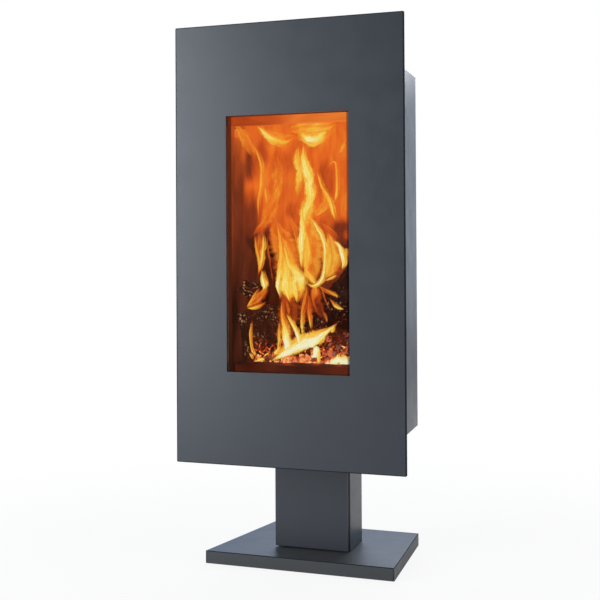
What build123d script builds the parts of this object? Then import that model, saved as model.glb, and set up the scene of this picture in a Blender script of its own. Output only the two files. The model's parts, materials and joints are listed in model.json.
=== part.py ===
from build123d import *
import os
from math import cos, radians, sin

# A slim pedestal wood stove. A flat steel door covers the whole front, a body
# that narrows towards the back hangs behind it, and a short column carries the
# body on a base of the same outline.
# Millimetres, +Z up, +X to the right of someone facing the stove, +Y to its back.
# While modelling, y is the distance behind the face of the door. save() moves each
# piece so that the origin is the centre of the bounding box's bottom face.

# ---- driving dimensions ----
overall_height = 1250.0
plate_border = 128.0
plate_bottom = 244.0
plate_thickness = 6.0
window_width = 296.0
window_bottom = 456.0
window_top_margin = 210.0

body_front = 56.0
body_depth = 332.0
body_border = 82.0
body_back_width = 384.0
body_bottom = 297.0
body_top_margin = 91.0

base_height = 30.0
base_sheet = 3.0
base_plate_thickness = 12.0
pedestal_front = 148.0
pedestal_depth = 127.0
pedestal_front_width = 182.0
pedestal_back_width = 166.0
cover_sheet = 3.0
cover_shadow_gap = 12.0
cover_lift = 3.0
column_wall = 3.0
flange_thickness = 6.0
flange_overhang = 20.0
flange_lip = 8.0
bolt_edge = 9.0
bolt_row_inset = 12.0
bolt_radius = 4.0
bolt_hole_radius = 4.5
bolt_head_height = 5.3
nut_height = 6.5
bolt_across_flats = 13.0
levelling_radius = 5.0
levelling_inset = 34.0
spacer_inset = 60.0
spacer_radius = 10.0
standoff_radius = 6.0
standoff_edge = 24.0
standoff_end = 30.0
cover_clearance = 1.0
seam = 1.2

casing_sheet = 2.0
casing_cap = 3.0
casing_flange = 14.0
bend_radius = 1.5
front_frame_thickness = 6.0
convection_gap = 25.0
top_slot_pitch = 30.0
top_slot_width = 8.0
top_slot_first = 40.0
vent_count = 11
vent_pitch = 26.0
vent_width = 8.0
vent_height = 26.0
casing_screw_count = 5
casing_screw_radius = 4.5
rear_gap = 28.0
roof_gap = 59.0
lift_off_bottom = 6.0
firebox_wall = 4.0
floor_top = 420.0
lining = 25.0
lining_gap = 1.0
brick_gap = 0.5
lining_top_drop = 40.0
opening_margin = 12.0
duct_depth = 24.0
duct_sheet = 2.0
duct_drop = 28.0
guard_rise = 12.0
ash_opening_width = 190.0
ash_opening_bottom = 326.0
ash_opening_top = 408.0

frame_border = 52.0
frame_top_border = 53.0
frame_sheet = 3.0
liner_sheet = 2.0
liner_depth = 30.0
frame_front = 13.0
glass_thickness = 4.0
glass_overlap = 15.0
gasket_thickness = 2.0
rope_width = 10.0
rope_height = 8.0
rope_inset = 13.0
moving_gap = 0.3

hinge_offset = 44.0
hinge_y = 31.0
hinge_pin_radius = 5.0
hinge_lug_radius = 9.0
hinge_lug_height = 10.0
running_clearance = 0.05
pressed_gap = 0.02

latch_offset = 26.0
latch_y = 26.0
latch_shaft_radius = 5.0
latch_throw = 40.0
keeper_offset = 16.0
keeper_y = 38.0
keeper_radius = 4.0
hook_clearance = 4.2
hook_thickness = 6.0
grip_length = 180.0
grip_reach = 36.0
grip_angle = 22.0
grip_thickness = 4.0

grate_width = 198.0
grate_front = 131.0
grate_depth = 128.0
grate_height = 20.0
grate_bars = 9
grate_rim = 12.0

flue_radius = 74.5
flue_wall = 3.0
flue_flange = 16.0
trim_ring_reach = 24.0
flue_from_back = 138.0
flue_shoulder_rise = 5.0
flue_rise = 46.0

slider_width = 170.0
slider_depth = 56.0
slider_sheet = 3.0
slider_front = 66.0
slot_width = 22.0
slot_pitch = 48.0
slot_length = 26.0

ember_depth = 14.0
left_log_width = 88.0
left_log_height = 148.0
crossed_log_height = 84.0
crossed_log_gap = 32.0
front_log_length = 172.0
back_log_length = 180.0
leaning_log_length = 210.0
leaning_log_width = 84.0
leaning_log_height = 88.0
leaning_log_tilt = 52.0
leaning_log_turn = 14.0

screw_head = 2.0

# ---- values worked out from them ----
plate_width = window_width + 2 * plate_border
body_front_width = window_width + 2 * body_border
overall_depth = body_front + body_depth + screw_head
body_back = body_front + body_depth
body_top = overall_height - body_top_margin
taper = (body_front_width - body_back_width) / 2 / body_depth
window_top = overall_height - window_top_margin
window_middle = (window_bottom + window_top) / 2
front_frame_front = body_front - front_frame_thickness
opening_half = window_width / 2 + opening_margin
opening_bottom = window_bottom - opening_margin
opening_top = window_top + opening_margin
firebox_back = body_back - rear_gap
firebox_bottom = body_bottom + lift_off_bottom
firebox_top = body_top - roof_gap
lining_bottom = floor_top + lining
lining_top = window_top - lining_top_drop
pedestal_back = pedestal_front + pedestal_depth
column_front = pedestal_front + cover_sheet + cover_shadow_gap
column_taper = (pedestal_front_width - pedestal_back_width) / 2 / (pedestal_back - column_front)
frame_half_width = window_width / 2 + frame_border
frame_bottom = body_bottom + lift_off_bottom
frame_top = window_top + frame_top_border
web_rear = front_frame_front - moving_gap - rope_height
hinge_x = -(frame_half_width + hinge_offset)
hinge_heights = (window_bottom - 36, window_top - 40)
latch_x = frame_half_width + latch_offset
latch_bottom = window_bottom + 56
latch_top = window_top - 46
latch_hook_heights = (window_bottom + 104, window_top - 100)
latch_bearing_heights = (latch_bottom + 11, latch_top - 11)
keeper_x = frame_half_width + keeper_offset
grip_bottom = window_middle - grip_length / 3
grip_top = grip_bottom + grip_length
flue_y = firebox_back - flue_from_back
flue_top = body_top + flue_rise
flue_shoulder = body_top + flue_shoulder_rise
slider_travel = slot_pitch / 2
slider_centre = slider_front + slider_depth / 2
air_slots = [side * slot_pitch for side in (-1, 0, 1)]
ember_top = lining_bottom + ember_depth
crossed_log_top = ember_top + crossed_log_height


def save(name, shape):
    """Moves a piece into the part's own frame and writes it."""
    export_step(Pos(0, -overall_depth / 2, 0) * shape, f"parts/{name}.step")


def block(x0, x1, y0, y1, z0, z1):
    """A box between two corners."""
    middle = Pos((x0 + x1) / 2, (y0 + y1) / 2, (z0 + z1) / 2)
    return middle * Box(abs(x1 - x0), abs(y1 - y0), abs(z1 - z0))


def slab(points, z0, z1):
    """A plan outline raised from z0 to z1."""
    return Pos(0, 0, z0) * extrude(make_face(Polyline(*points, close=True)), z1 - z0)


def rod(x, y, z0, z1, radius):
    """An upright cylinder."""
    return Pos(x, y, (z0 + z1) / 2) * Cylinder(radius, z1 - z0)


def rod_y(x, z, y0, y1, radius):
    """A cylinder that points to the back."""
    return Pos(x, (y0 + y1) / 2, z) * Rot(90, 0, 0) * Cylinder(radius, abs(y1 - y0))


def hexagon(x, y, z0, z1, across_flats):
    """An upright hexagonal prism, as a nut or a bolt's head."""
    outline = RegularPolygon(across_flats / 2, 6, major_radius=False)
    return Pos(x, y, z0) * extrude(outline, z1 - z0)


def half_width(y, inset=0.0):
    """Half the body's width at depth y, less an inset at each side."""
    return body_front_width / 2 - taper * (y - body_front) - inset


def tapered(y0, y1, z0, z1, inset=0.0):
    """A block that narrows to the back as the body does."""
    a = half_width(y0, inset)
    b = half_width(y1, inset)
    return slab([(-a, y0), (a, y0), (b, y1), (-b, y1)], z0, z1)


def tapered_wall(side, y0, y1, z0, z1, inset, thickness):
    """One upright wall along the body's tapered side, side being 1 or -1."""
    points = [
        (half_width(y0, inset), y0),
        (half_width(y1, inset), y1),
        (half_width(y1, inset + thickness), y1),
        (half_width(y0, inset + thickness), y0),
    ]
    return slab([(side * x, y) for x, y in points], z0, z1)


def ring(half, z0, z1, width, y0, y1):
    """A flat upright frame around an opening, width wide on every side."""
    tall = z1 - z0
    outline = Rectangle(2 * (half + width), tall + 2 * width) - Rectangle(2 * half, tall)
    return Pos(0, y0, (z0 + z1) / 2) * Rot(90, 0, 0) * extrude(outline, -(y1 - y0))


# ---- base and pedestal ----
def spread_points(y_near, y_far, inset):
    """Four places near the corners of the base."""
    near = half_width(y_near, inset)
    far = half_width(y_far, inset)
    return [(-near, y_near), (near, y_near), (-far, y_far), (far, y_far)]


def pedestal_half(y, inset=0.0):
    """Half the column's width at depth y."""
    return pedestal_front_width / 2 - column_taper * (y - column_front) - inset


def pedestal_outline(y0, y1, inset=0.0):
    """The column's plan between two depths."""
    a = pedestal_half(y0, inset)
    b = pedestal_half(y1, inset)
    return [(-a, y0), (a, y0), (b, y1), (-b, y1)]


flange_front = column_front + column_wall
flange_back = pedestal_back - column_wall
flange_half = max(pedestal_front_width, pedestal_back_width) / 2 + flange_overhang
flange_bolt_x = flange_half - bolt_edge
flange_bolts = [
    (sx * flange_bolt_x, y)
    for sx in (-1, 1)
    for y in (flange_front + bolt_row_inset, flange_back - bolt_row_inset)
]
levelling_points = spread_points(body_front + levelling_inset, body_back - levelling_inset, levelling_inset)
spacer_points = spread_points(body_front + spacer_inset, body_back - spacer_inset, spacer_inset)


def make_base():
    fit = base_sheet + cover_clearance
    plate = tapered(body_front + fit, body_back - fit, 0, base_plate_thickness, fit)
    for x, y in levelling_points:
        plate -= rod(x, y, -1, base_plate_thickness + 1, levelling_radius + 0.05)
    for x, y in flange_bolts:
        plate -= rod(x, y, -1, base_plate_thickness + 1, bolt_hole_radius)
    save("base_plate", plate)

    cover = tapered(body_front, body_back, 0.5, base_height)
    cover = fillet(cover.edges().group_by(Axis.Z)[-1], 1.5)
    inner_top = base_height - base_sheet
    cover -= tapered(body_front + base_sheet, body_back - base_sheet, -1, inner_top, base_sheet)
    column = slab(pedestal_outline(column_front - 0.5, pedestal_back + 0.5, -0.5), 0, base_height + 1)
    cover -= column
    front_corner = half_width(body_front) - base_sheet
    back_corner = half_width(body_back) - base_sheet
    for side in (-1, 1):
        for x, y0, y1 in (
            (front_corner, body_front - 1, body_front + base_sheet + 0.5),
            (back_corner, body_back - base_sheet - 0.5, body_back + 1),
        ):
            cover -= block(side * x, side * (x + seam), y0, y1, -1, inner_top)
    save("base_cover", cover)

    spacers = [rod(x, y, base_plate_thickness, inner_top, spacer_radius) for x, y in spacer_points]
    save("base_spacers", Compound(spacers))

    screws = []
    for x, y in levelling_points:
        screw = rod(x, y, 0.5, base_plate_thickness - 0.5, levelling_radius)
        screw -= hexagon(x, y, base_plate_thickness - 5, base_plate_thickness, 5)
        screws.append(screw)
    save("levelling_screws", Compound(screws))


def make_column():
    lower_top = base_plate_thickness + flange_thickness
    upper_bottom = body_bottom - flange_thickness
    outline = [
        (-flange_half, flange_front - flange_lip),
        (flange_half, flange_front - flange_lip),
        (flange_half, flange_back + flange_lip),
        (-flange_half, flange_back + flange_lip),
    ]
    flanges = []
    for z0, z1 in ((base_plate_thickness, lower_top), (upper_bottom, body_bottom)):
        flange = slab(outline, z0, z1)
        flange = fillet(flange.edges().filter_by(Axis.Z), 6)
        for x, y in flange_bolts:
            flange -= rod(x, y, z0 - 1, z1 + 1, bolt_hole_radius)
        flanges.append(flange)
    save("column_flanges", Compound(flanges))

    tube = slab(pedestal_outline(column_front, pedestal_back), lower_top, upper_bottom)
    tube = fillet(tube.edges().filter_by(Axis.Z), 2.5)
    tube -= slab(
        pedestal_outline(column_front + column_wall, pedestal_back - column_wall, column_wall),
        lower_top - 1,
        upper_bottom + 1,
    )
    save("column_tube", tube)

    cover_top = upper_bottom - 2
    cover_bottom = base_height + cover_lift
    half = pedestal_front_width / 2
    cover = block(-half, half, pedestal_front, pedestal_front + cover_sheet, cover_bottom, cover_top)
    cover = fillet(cover.edges().filter_by(Axis.Y), 1.5)
    save("pedestal_front_cover", cover)
    studs = [
        rod_y(sx * (half - standoff_edge), z, pedestal_front + cover_sheet, column_front, standoff_radius)
        for sx in (-1, 1)
        for z in (cover_bottom + standoff_end, cover_top - standoff_end)
    ]
    save("cover_standoffs", Compound(studs))

    fasteners = []
    chamber_floor = firebox_bottom + firebox_wall
    for x, y in flange_bolts:
        head = hexagon(x, y, lower_top, lower_top + bolt_head_height, bolt_across_flats)
        fasteners.append(head + rod(x, y, 1.0, lower_top + 1, bolt_radius))
        head = hexagon(x, y, upper_bottom - bolt_head_height, upper_bottom, bolt_across_flats)
        fasteners.append(head + rod(x, y, upper_bottom - 1, chamber_floor + 8, bolt_radius))
        nut = hexagon(x, y, chamber_floor, chamber_floor + nut_height, bolt_across_flats)
        fasteners.append(nut - rod(x, y, chamber_floor - 1, chamber_floor + 8, bolt_radius + pressed_gap))
    save("column_fasteners", Compound(fasteners))


# ---- casing ----
back_inner = body_back - 2 * casing_sheet


def air_slot_tools(z0, z1, shift=0.0):
    """The primary air slots, cut through whatever lies between z0 and z1."""
    return [
        block(x + shift - slot_width / 2, x + shift + slot_width / 2,
              slider_centre - slot_length / 2, slider_centre + slot_length / 2, z0, z1)
        for x in air_slots
    ]


def make_casing():
    bottom_top = body_bottom + casing_cap
    top_bottom = body_top - casing_cap
    bottom = tapered(body_front, body_back, body_bottom, bottom_top)
    for tool in air_slot_tools(body_bottom - 1, bottom_top + 1):
        bottom -= tool
    for x, y in flange_bolts:
        bottom -= rod(x, y, body_bottom - 1, bottom_top + 1, bolt_hole_radius)
    save("casing_bottom", bottom)

    top = tapered(body_front, body_back, top_bottom, body_top)
    top = fillet(top.edges().group_by(Axis.Z)[-1], 1.0)
    top -= rod(0, flue_y, top_bottom - 1, body_top + 1, flue_radius + 6)
    for side in (-1, 1):
        for i in range(int((body_depth - 60) / top_slot_pitch)):
            y = body_front + top_slot_first + i * top_slot_pitch
            x0 = half_width(y, 52)
            x1 = half_width(y, 12)
            top -= block(side * x0, side * x1, y, y + top_slot_width, top_bottom - 1, body_top + 1)
    save("casing_top", top)

    for name, side in (("casing_left", -1), ("casing_right", 1)):
        front = half_width(body_front)
        back = half_width(body_back)
        points = [
            (front, body_front),
            (back, body_back),
            (back - casing_flange, body_back),
            (back - casing_flange, body_back - casing_sheet),
            (half_width(body_back - casing_sheet, casing_sheet), body_back - casing_sheet),
            (half_width(body_front + casing_sheet, casing_sheet), body_front + casing_sheet),
            (front - casing_flange, body_front + casing_sheet),
            (front - casing_flange, body_front),
        ]
        sheet = slab([(side * x, y) for x, y in points], bottom_top, top_bottom)
        upright = sheet.edges().filter_by(Axis.Z)
        rear = max(upright, key=lambda e: e.center().Y + abs(e.center().X) / 2)
        near = max(upright, key=lambda e: abs(e.center().X) - e.center().Y / 2)
        sheet = fillet([rear, near], bend_radius)
        save(name, sheet)

    y0 = back_inner
    y1 = back_inner + casing_sheet
    back_panel = tapered(y0, y1, bottom_top + 0.5, top_bottom - 0.5, casing_sheet + 0.5)
    for row_z in (body_bottom + 43, body_bottom + 83, body_top - 89, body_top - 49):
        for i in range(vent_count):
            x = (i - (vent_count - 1) / 2) * vent_pitch
            x0 = x - vent_width / 2
            x1 = x + vent_width / 2
            back_panel -= block(x0, x1, y0 - 1, y1 + 1, row_z, row_z + vent_height)
    save("casing_back", back_panel)

    flange_x = half_width(body_back) - casing_flange / 2
    heads = []
    for side in (-1, 1):
        for i in range(casing_screw_count):
            z = bottom_top + 40 + i * (top_bottom - bottom_top - 80) / (casing_screw_count - 1)
            heads.append(rod_y(side * flange_x, z, body_back, body_back + screw_head, casing_screw_radius))
    save("casing_screws", Compound(heads))


# ---- firebox ----
wall_inset = convection_gap
inner_inset = wall_inset + firebox_wall
lining_inset = inner_inset + lining_gap
cavity_inset = lining_inset + lining
cavity_back = firebox_back - firebox_wall - lining_gap - lining
grate_back = grate_front + grate_depth
grate_half = grate_width / 2
duct_bottom = opening_top - duct_drop
duct_top = opening_top + 8
guard_top = window_bottom + guard_rise


def make_firebox():
    frame_half = body_front_width / 2 - 2
    tall = block(-frame_half, frame_half, front_frame_front, body_front,
                 body_bottom + 2, body_top - 2)
    tall = fillet(tall.edges().filter_by(Axis.Y), 3)
    tall -= block(-opening_half, opening_half, 0, body_front + 1, opening_bottom, opening_top)
    ash_half = ash_opening_width / 2
    tall -= block(-ash_half, ash_half, 0, body_front + 1, ash_opening_bottom, ash_opening_top)
    save("front_frame", tall)

    base_top = firebox_bottom + firebox_wall
    roof_bottom = firebox_top - firebox_wall
    base = tapered(body_front + casing_sheet, firebox_back, firebox_bottom, base_top, wall_inset)
    for tool in air_slot_tools(firebox_bottom - 1, base_top + 1):
        base -= tool
    for x, y in flange_bolts:
        base -= rod(x, y, firebox_bottom - 1, base_top + 1, bolt_hole_radius)
    save("firebox_base", base)
    for name, side in (("firebox_left_wall", -1), ("firebox_right_wall", 1)):
        wall = tapered_wall(side, body_front, firebox_back, base_top, roof_bottom,
                            wall_inset, firebox_wall)
        save(name, wall)
    back = tapered(firebox_back - firebox_wall, firebox_back, base_top, roof_bottom, inner_inset)
    save("firebox_back_wall", back)
    roof = tapered(body_front, firebox_back, roof_bottom, firebox_top, wall_inset)
    roof -= rod(0, flue_y, roof_bottom - 1, firebox_top + 1, flue_radius - flue_wall)
    save("firebox_roof", roof)

    floor = tapered(body_front, firebox_back - firebox_wall, floor_top - firebox_wall,
                    floor_top, inner_inset)
    ledge = 9.0
    floor -= block(-grate_half + ledge, grate_half - ledge, grate_front + ledge,
                   grate_back - ledge, floor_top - firebox_wall - 1, floor_top + 1)
    save("firebox_floor", floor)

    collar = rod(0, flue_y, firebox_top, firebox_top + 3, flue_radius + flue_flange)
    collar += rod(0, flue_y, firebox_top, flue_shoulder, flue_radius + 2.5)
    collar += rod(0, flue_y, firebox_top, flue_top, flue_radius)
    collar -= rod(0, flue_y, firebox_top - 1, flue_top + 1, flue_radius - flue_wall)
    save("flue_collar", collar)

    outer = flue_radius + trim_ring_reach
    rosette = rod(0, flue_y, body_top, body_top + 2, outer)
    rosette -= rod(0, flue_y, body_top - 1, body_top + 3, flue_radius + 3)
    save("flue_trim_ring", rosette)


def make_linings():
    y0 = body_front + 2
    for name, side in (("lining_left", -1), ("lining_right", 1)):
        save(name, tapered_wall(side, y0, cavity_back + lining, floor_top, lining_top,
                                lining_inset, lining))
    back = tapered(cavity_back, cavity_back + lining, floor_top, lining_top, cavity_inset + brick_gap)
    for row_z in (lining_bottom + 195, lining_bottom + 315):
        for i in range(7):
            back -= rod_y((i - 3) * 34.0, row_z, cavity_back - 1, cavity_back + lining + 1, 4)
    save("lining_back", back)

    split = grate_half + brick_gap
    brick_end = cavity_back - brick_gap
    bricks = []
    for side in (-1, 1):
        a = half_width(y0, cavity_inset + brick_gap)
        b = half_width(brick_end, cavity_inset + brick_gap)
        points = [(split, y0), (a, y0), (b, brick_end), (split, brick_end)]
        bricks.append(slab([(side * x, y) for x, y in points], floor_top, lining_bottom))
    for near, far in ((y0, grate_front - brick_gap), (grate_back + brick_gap, brick_end)):
        bricks.append(block(-grate_half, grate_half, near, far, floor_top, lining_bottom))
    save("floor_bricks", Compound(bricks))

    grate = block(-grate_half, grate_half, grate_front, grate_back, floor_top,
                  floor_top + grate_height)
    pitch = (grate_width - 2 * grate_rim) / grate_bars
    for i in range(grate_bars):
        x = -grate_half + grate_rim + (i + 0.5) * pitch
        grate -= block(x - pitch / 4, x + pitch / 4, grate_front + 14, grate_back - 14,
                       floor_top - 1, floor_top + grate_height + 1)
    save("grate", grate)

    lower = tapered(body_front + 84, cavity_back + lining - 1, lining_top, lining_top + lining,
                    inner_inset + 2)
    save("baffle_lower", lower)
    rail_top = duct_top
    rails = []
    for side in (-1, 1):
        upright = tapered_wall(side, body_front + 4, firebox_back - 60, rail_top - 20, rail_top,
                               inner_inset, 3)
        shelf = tapered_wall(side, body_front + 4, firebox_back - 60, rail_top - 3, rail_top,
                             inner_inset, 20)
        rails.append(upright + shelf)
    save("baffle_rails", Compound(rails))
    save("baffle_upper", tapered(body_front + 4, firebox_back - 80, rail_top, rail_top + 3,
                                 inner_inset + 2))

    guard_half = opening_half - 6
    guard = block(-guard_half, guard_half, body_front + 5, body_front + 8, lining_bottom, guard_top)
    guard += block(-guard_half, guard_half, body_front + 5, body_front + 20,
                   lining_bottom, lining_bottom + 3)
    save("log_guard", guard)

    duct_half = opening_half + 4
    duct = block(-duct_half, duct_half, body_front, body_front + duct_depth, duct_bottom, duct_top)
    duct -= block(-duct_half + duct_sheet, duct_half - duct_sheet, body_front - 1,
                  body_front + duct_depth - duct_sheet, duct_bottom + duct_sheet, duct_top - duct_sheet)
    duct -= block(-duct_half + 8, duct_half - 8, body_front - 1, body_front + 6,
                  duct_bottom - 1, duct_bottom + 3)
    save("air_wash_duct", duct)


def make_ash_pan():
    half = ash_opening_width / 2 - 8
    z0 = ash_opening_bottom + 2
    z1 = ash_opening_top - 6
    y0 = body_front + 14
    y1 = firebox_back - firebox_wall - 66
    pan = block(-half, half, y0, y1, z0, z1)
    pan = fillet(pan.edges().filter_by(Axis.Z), 6)
    pan -= block(-half + 1.5, half - 1.5, y0 + 1.5, y1 - 1.5, z0 + 1.5, z1 + 1)
    tab = block(-25, 25, y0 - 10, y0, z1 - 16, z1 - 12)
    tab += block(-25, 25, y0 - 12, y0 - 10, z1 - 26, z1 - 12)
    save("ash_pan", pan + tab)
    runners = [
        block(side * (half - 20), side * (half - 8), y0 + 5, y1 - 5, firebox_bottom + firebox_wall, z0)
        for side in (-1, 1)
    ]
    save("ash_pan_runners", Compound(runners))


# ---- door ----
def make_door():
    half = plate_width / 2
    plate = block(-half, half, 0, plate_thickness, plate_bottom, overall_height)
    plate = fillet(plate.edges().filter_by(Axis.Y), 2.5)
    plate = chamfer(plate.faces().sort_by(Axis.Y)[0].edges(), 0.6)
    opening = block(-window_width / 2, window_width / 2, -1, plate_thickness + 1,
                    window_bottom, window_top)
    save("front_plate", plate - fillet(opening.edges().filter_by(Axis.Y), 1.5))

    glass_front = plate_thickness + gasket_thickness
    glass_half = window_width / 2 + glass_overlap
    glass = block(-glass_half, glass_half, glass_front, glass_front + glass_thickness,
                  window_bottom - glass_overlap, window_top + glass_overlap)
    glass = fillet(glass.edges().filter_by(Axis.Y), 3)
    save("glass_pane", glass)
    gasket = ring(window_width / 2 + 1, window_bottom - 1, window_top + 1, glass_overlap - 2,
                  plate_thickness, glass_front)
    rear_gasket = ring(window_width / 2 + 1, window_bottom - 1, window_top + 1, glass_overlap - 2,
                       glass_front + glass_thickness, frame_front)
    save("glass_gaskets", Compound([gasket, rear_gasket]))

    inner = window_width / 2
    outer_z = (frame_bottom, frame_top)
    frame = block(-frame_half_width, frame_half_width, web_rear - frame_sheet, web_rear, *outer_z)
    frame += block(-frame_half_width, frame_half_width, plate_thickness, web_rear, *outer_z) - block(
        -frame_half_width + frame_sheet, frame_half_width - frame_sheet, plate_thickness - 1,
        web_rear + 1, frame_bottom + frame_sheet, frame_top - frame_sheet)
    step = opening_margin
    frame -= block(-inner - step, inner + step, 0, web_rear + 1, window_bottom - step,
                   window_top + step)
    frame += ring(inner, window_bottom, window_top, glass_overlap, frame_front,
                  frame_front + liner_sheet)
    frame += ring(inner, window_bottom, window_top, liner_sheet, frame_front, liner_depth)
    frame += ring(inner, window_bottom, window_top, step + liner_sheet, liner_depth - liner_sheet,
                  liner_depth)
    frame += ring(inner + step, window_bottom - step, window_top + step, liner_sheet,
                  liner_depth - liner_sheet, web_rear)
    rope_half = frame_half_width - rope_inset
    for offset in (-rope_width / 2 - 2, rope_width / 2):
        frame += ring(rope_half + offset, frame_bottom + rope_inset - offset,
                      frame_top - rope_inset + offset, 2, web_rear, web_rear + 3)
    save("door_frame", frame)

    rope = ring(rope_half - rope_width / 2, frame_bottom + rope_inset + rope_width / 2,
                frame_top - rope_inset - rope_width / 2, rope_width, web_rear,
                web_rear + rope_height)
    rope = fillet(rope.edges().group_by(Axis.Y)[-1], 3)
    save("door_seal_rope", rope)

    posts, heads = [], []
    post_x = frame_half_width - 27
    for side in (-1, 1):
        for z in (frame_bottom + 60, window_middle, frame_top - 30):
            posts.append(rod_y(side * post_x, z, plate_thickness, web_rear - frame_sheet, 5))
            heads.append(rod_y(side * post_x, z, web_rear, web_rear + 2.5, 5.5))
    save("plate_fixings", Compound(posts + heads))


def make_hinges():
    lug = 6.0
    washer_thickness = 1.0
    washer_gap = 0.2
    leg_x0 = -(body_front_width / 2 - 2)
    leg_x1 = -(frame_half_width + 6)
    bore = hinge_pin_radius + running_clearance
    brackets, pins, washers, lugs = [], [], [], []
    for z in hinge_heights:
        arm = rod(hinge_x, hinge_y, z - lug, z, hinge_lug_radius)
        arm += slab([
            (hinge_x - hinge_lug_radius, hinge_y),
            (hinge_x + hinge_lug_radius, hinge_y - 2),
            (leg_x1, front_frame_front - 5),
            (leg_x1, front_frame_front),
            (leg_x0, front_frame_front),
        ], z - lug, z)
        leg = block(leg_x0, leg_x1, front_frame_front - 5, front_frame_front, z - 40, z + 14)
        hole = rod(hinge_x, hinge_y, z - lug - 1, z + 1, hinge_pin_radius + pressed_gap)
        brackets.append(arm + leg - hole)
        pin = rod(hinge_x, hinge_y, z - lug, z + hinge_lug_height + 4, hinge_pin_radius)
        pins.append(chamfer(pin.edges().group_by(Axis.Z)[-1], 1.5))
        washer = rod(hinge_x, hinge_y, z, z + washer_thickness, hinge_lug_radius)
        washers.append(washer - rod(hinge_x, hinge_y, z - 1, z + 2, bore))
        z0 = z + washer_thickness + washer_gap
        z1 = z0 + hinge_lug_height
        knuckle = rod(hinge_x, hinge_y, z0, z1, hinge_lug_radius)
        knuckle += block(hinge_x, -frame_half_width, hinge_y - 7, hinge_y + 7, z0, z1)
        lugs.append(knuckle - rod(hinge_x, hinge_y, z0 - 1, z1 + 1, bore))
    save("hinge_brackets", Compound(brackets))
    save("hinge_pins", Compound(pins))
    save("hinge_washers", Compound(washers))
    save("hinge_lugs", Compound(lugs))


# ---- latch ----
def released(shape):
    """Turns a latch piece drawn as latched to where it lets the door go."""
    axis = Pos(latch_x, latch_y, 0)
    return axis * Rot(0, 0, -latch_throw) * axis.inverse() * shape


def make_latch():
    shaft = rod(latch_x, latch_y, latch_bottom, latch_top, latch_shaft_radius)
    shaft = chamfer(shaft.edges().filter_by(GeomType.CIRCLE), 0.8)
    save("latch_shaft", shaft)
    bore = latch_shaft_radius + running_clearance

    bearings = []
    for z in latch_bearing_heights:
        lug = rod(latch_x, latch_y, z - 4, z + 4, 9)
        lug += block(frame_half_width, latch_x, latch_y - 7, latch_y + 7, z - 4, z + 4)
        bearings.append(lug - rod(latch_x, latch_y, z - 5, z + 5, bore))
    save("latch_bearings", Compound(bearings))

    collars = []
    for z in latch_bearing_heights:
        for z0 in (z - 4 - 6.3, z + 4.3):
            collar = rod(latch_x, latch_y, z0, z0 + 6, 8)
            collars.append(collar - rod(latch_x, latch_y, z0 - 1, z0 + 7, bore))
    save("latch_collars", Compound(collars))

    thick = hook_thickness
    arm_in = keeper_x + keeper_radius + 1
    tip_y0 = keeper_y + keeper_radius + 0.6
    tip_y1 = front_frame_front - hook_clearance
    hooks, keepers = [], []
    for z in latch_hook_heights:
        z0 = z - thick / 2
        hook = rod(latch_x, latch_y, z0, z0 + thick, 9)
        hook += slab([
            (arm_in, latch_y), (latch_x + 8, latch_y), (latch_x + 5, tip_y1),
            (keeper_x + 1, tip_y1), (keeper_x, tip_y0), (arm_in, tip_y0),
        ], z0, z0 + thick)
        hooks.append(released(hook - rod(latch_x, latch_y, z0 - 1, z0 + thick + 1, bore)))

        keeper = block(frame_half_width + 6, body_front_width / 2 - 2, front_frame_front - 1.5,
                       front_frame_front, z - 22, z + 22)
        for side in (-1, 1):
            keeper += block(keeper_x - 6, keeper_x + 6, keeper_y - 5, front_frame_front,
                            z + side * 6, z + side * 10)
        keepers.append(keeper - rod(keeper_x, keeper_y, z - 30, z + 30, keeper_radius + pressed_gap))
        keepers.append(rod(keeper_x, keeper_y, z - 10, z + 10, keeper_radius))
    save("latch_hooks", Compound(hooks))
    save("latch_keepers", Compound(keepers))

    sleeve = rod(latch_x, latch_y, grip_bottom, grip_top, 8)
    sleeve -= rod(latch_x, latch_y, grip_bottom - 1, grip_top + 1, bore)
    blade = block(6.5, grip_reach, -grip_thickness / 2, grip_thickness / 2, grip_bottom, grip_top)
    blade = fillet(blade.edges().filter_by(Axis.Z).group_by(Axis.X)[-1], 1.8)
    blade = Pos(latch_x, latch_y, 0) * Rot(0, 0, grip_angle) * blade
    save("handle_grip", released(sleeve + blade))


# ---- air control ----
def make_air_control():
    top = body_bottom - moving_gap
    z0 = top - slider_sheet
    half = slider_width / 2
    plate = block(-half, half, slider_front, slider_front + slider_depth, z0, top)
    for tool in air_slot_tools(z0 - 1, top + 1):
        plate -= tool
    plate += block(-12, 12, slider_front - 34, slider_front, z0, top)
    plate += block(-12, 12, slider_front - 34, slider_front - 31, z0 - 26, top)
    save("air_slider", plate)
    knob_y = slider_front - 34
    knob = rod_y(0, z0 - 17, knob_y - 12, knob_y, 9)
    knob = fillet(knob.edges().group_by(Axis.Y)[0], 2.5)
    save("air_slider_knob", knob)

    rails = []
    reach = half + slider_travel + 6
    for y0, y1, lip in (
        (slider_front - 6, slider_front - moving_gap, 1),
        (slider_front + slider_depth + moving_gap, slider_front + slider_depth + 6, -1),
    ):
        rail = block(-reach, reach, y0, y1, z0 - moving_gap - 2, body_bottom)
        edge = y1 if lip > 0 else y0
        rail += block(-reach, reach, edge, edge + lip * 5, z0 - moving_gap - 2, z0 - moving_gap)
        if lip > 0:
            gap = 12 + slider_travel + 1
            rail -= block(-gap, gap, y0 - 1, y1 + 6, z0 - 30, body_bottom + 1)
            rails.extend(rail.solids())
        else:
            rails.append(rail)
    save("air_slider_rails", Compound(rails))


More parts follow.
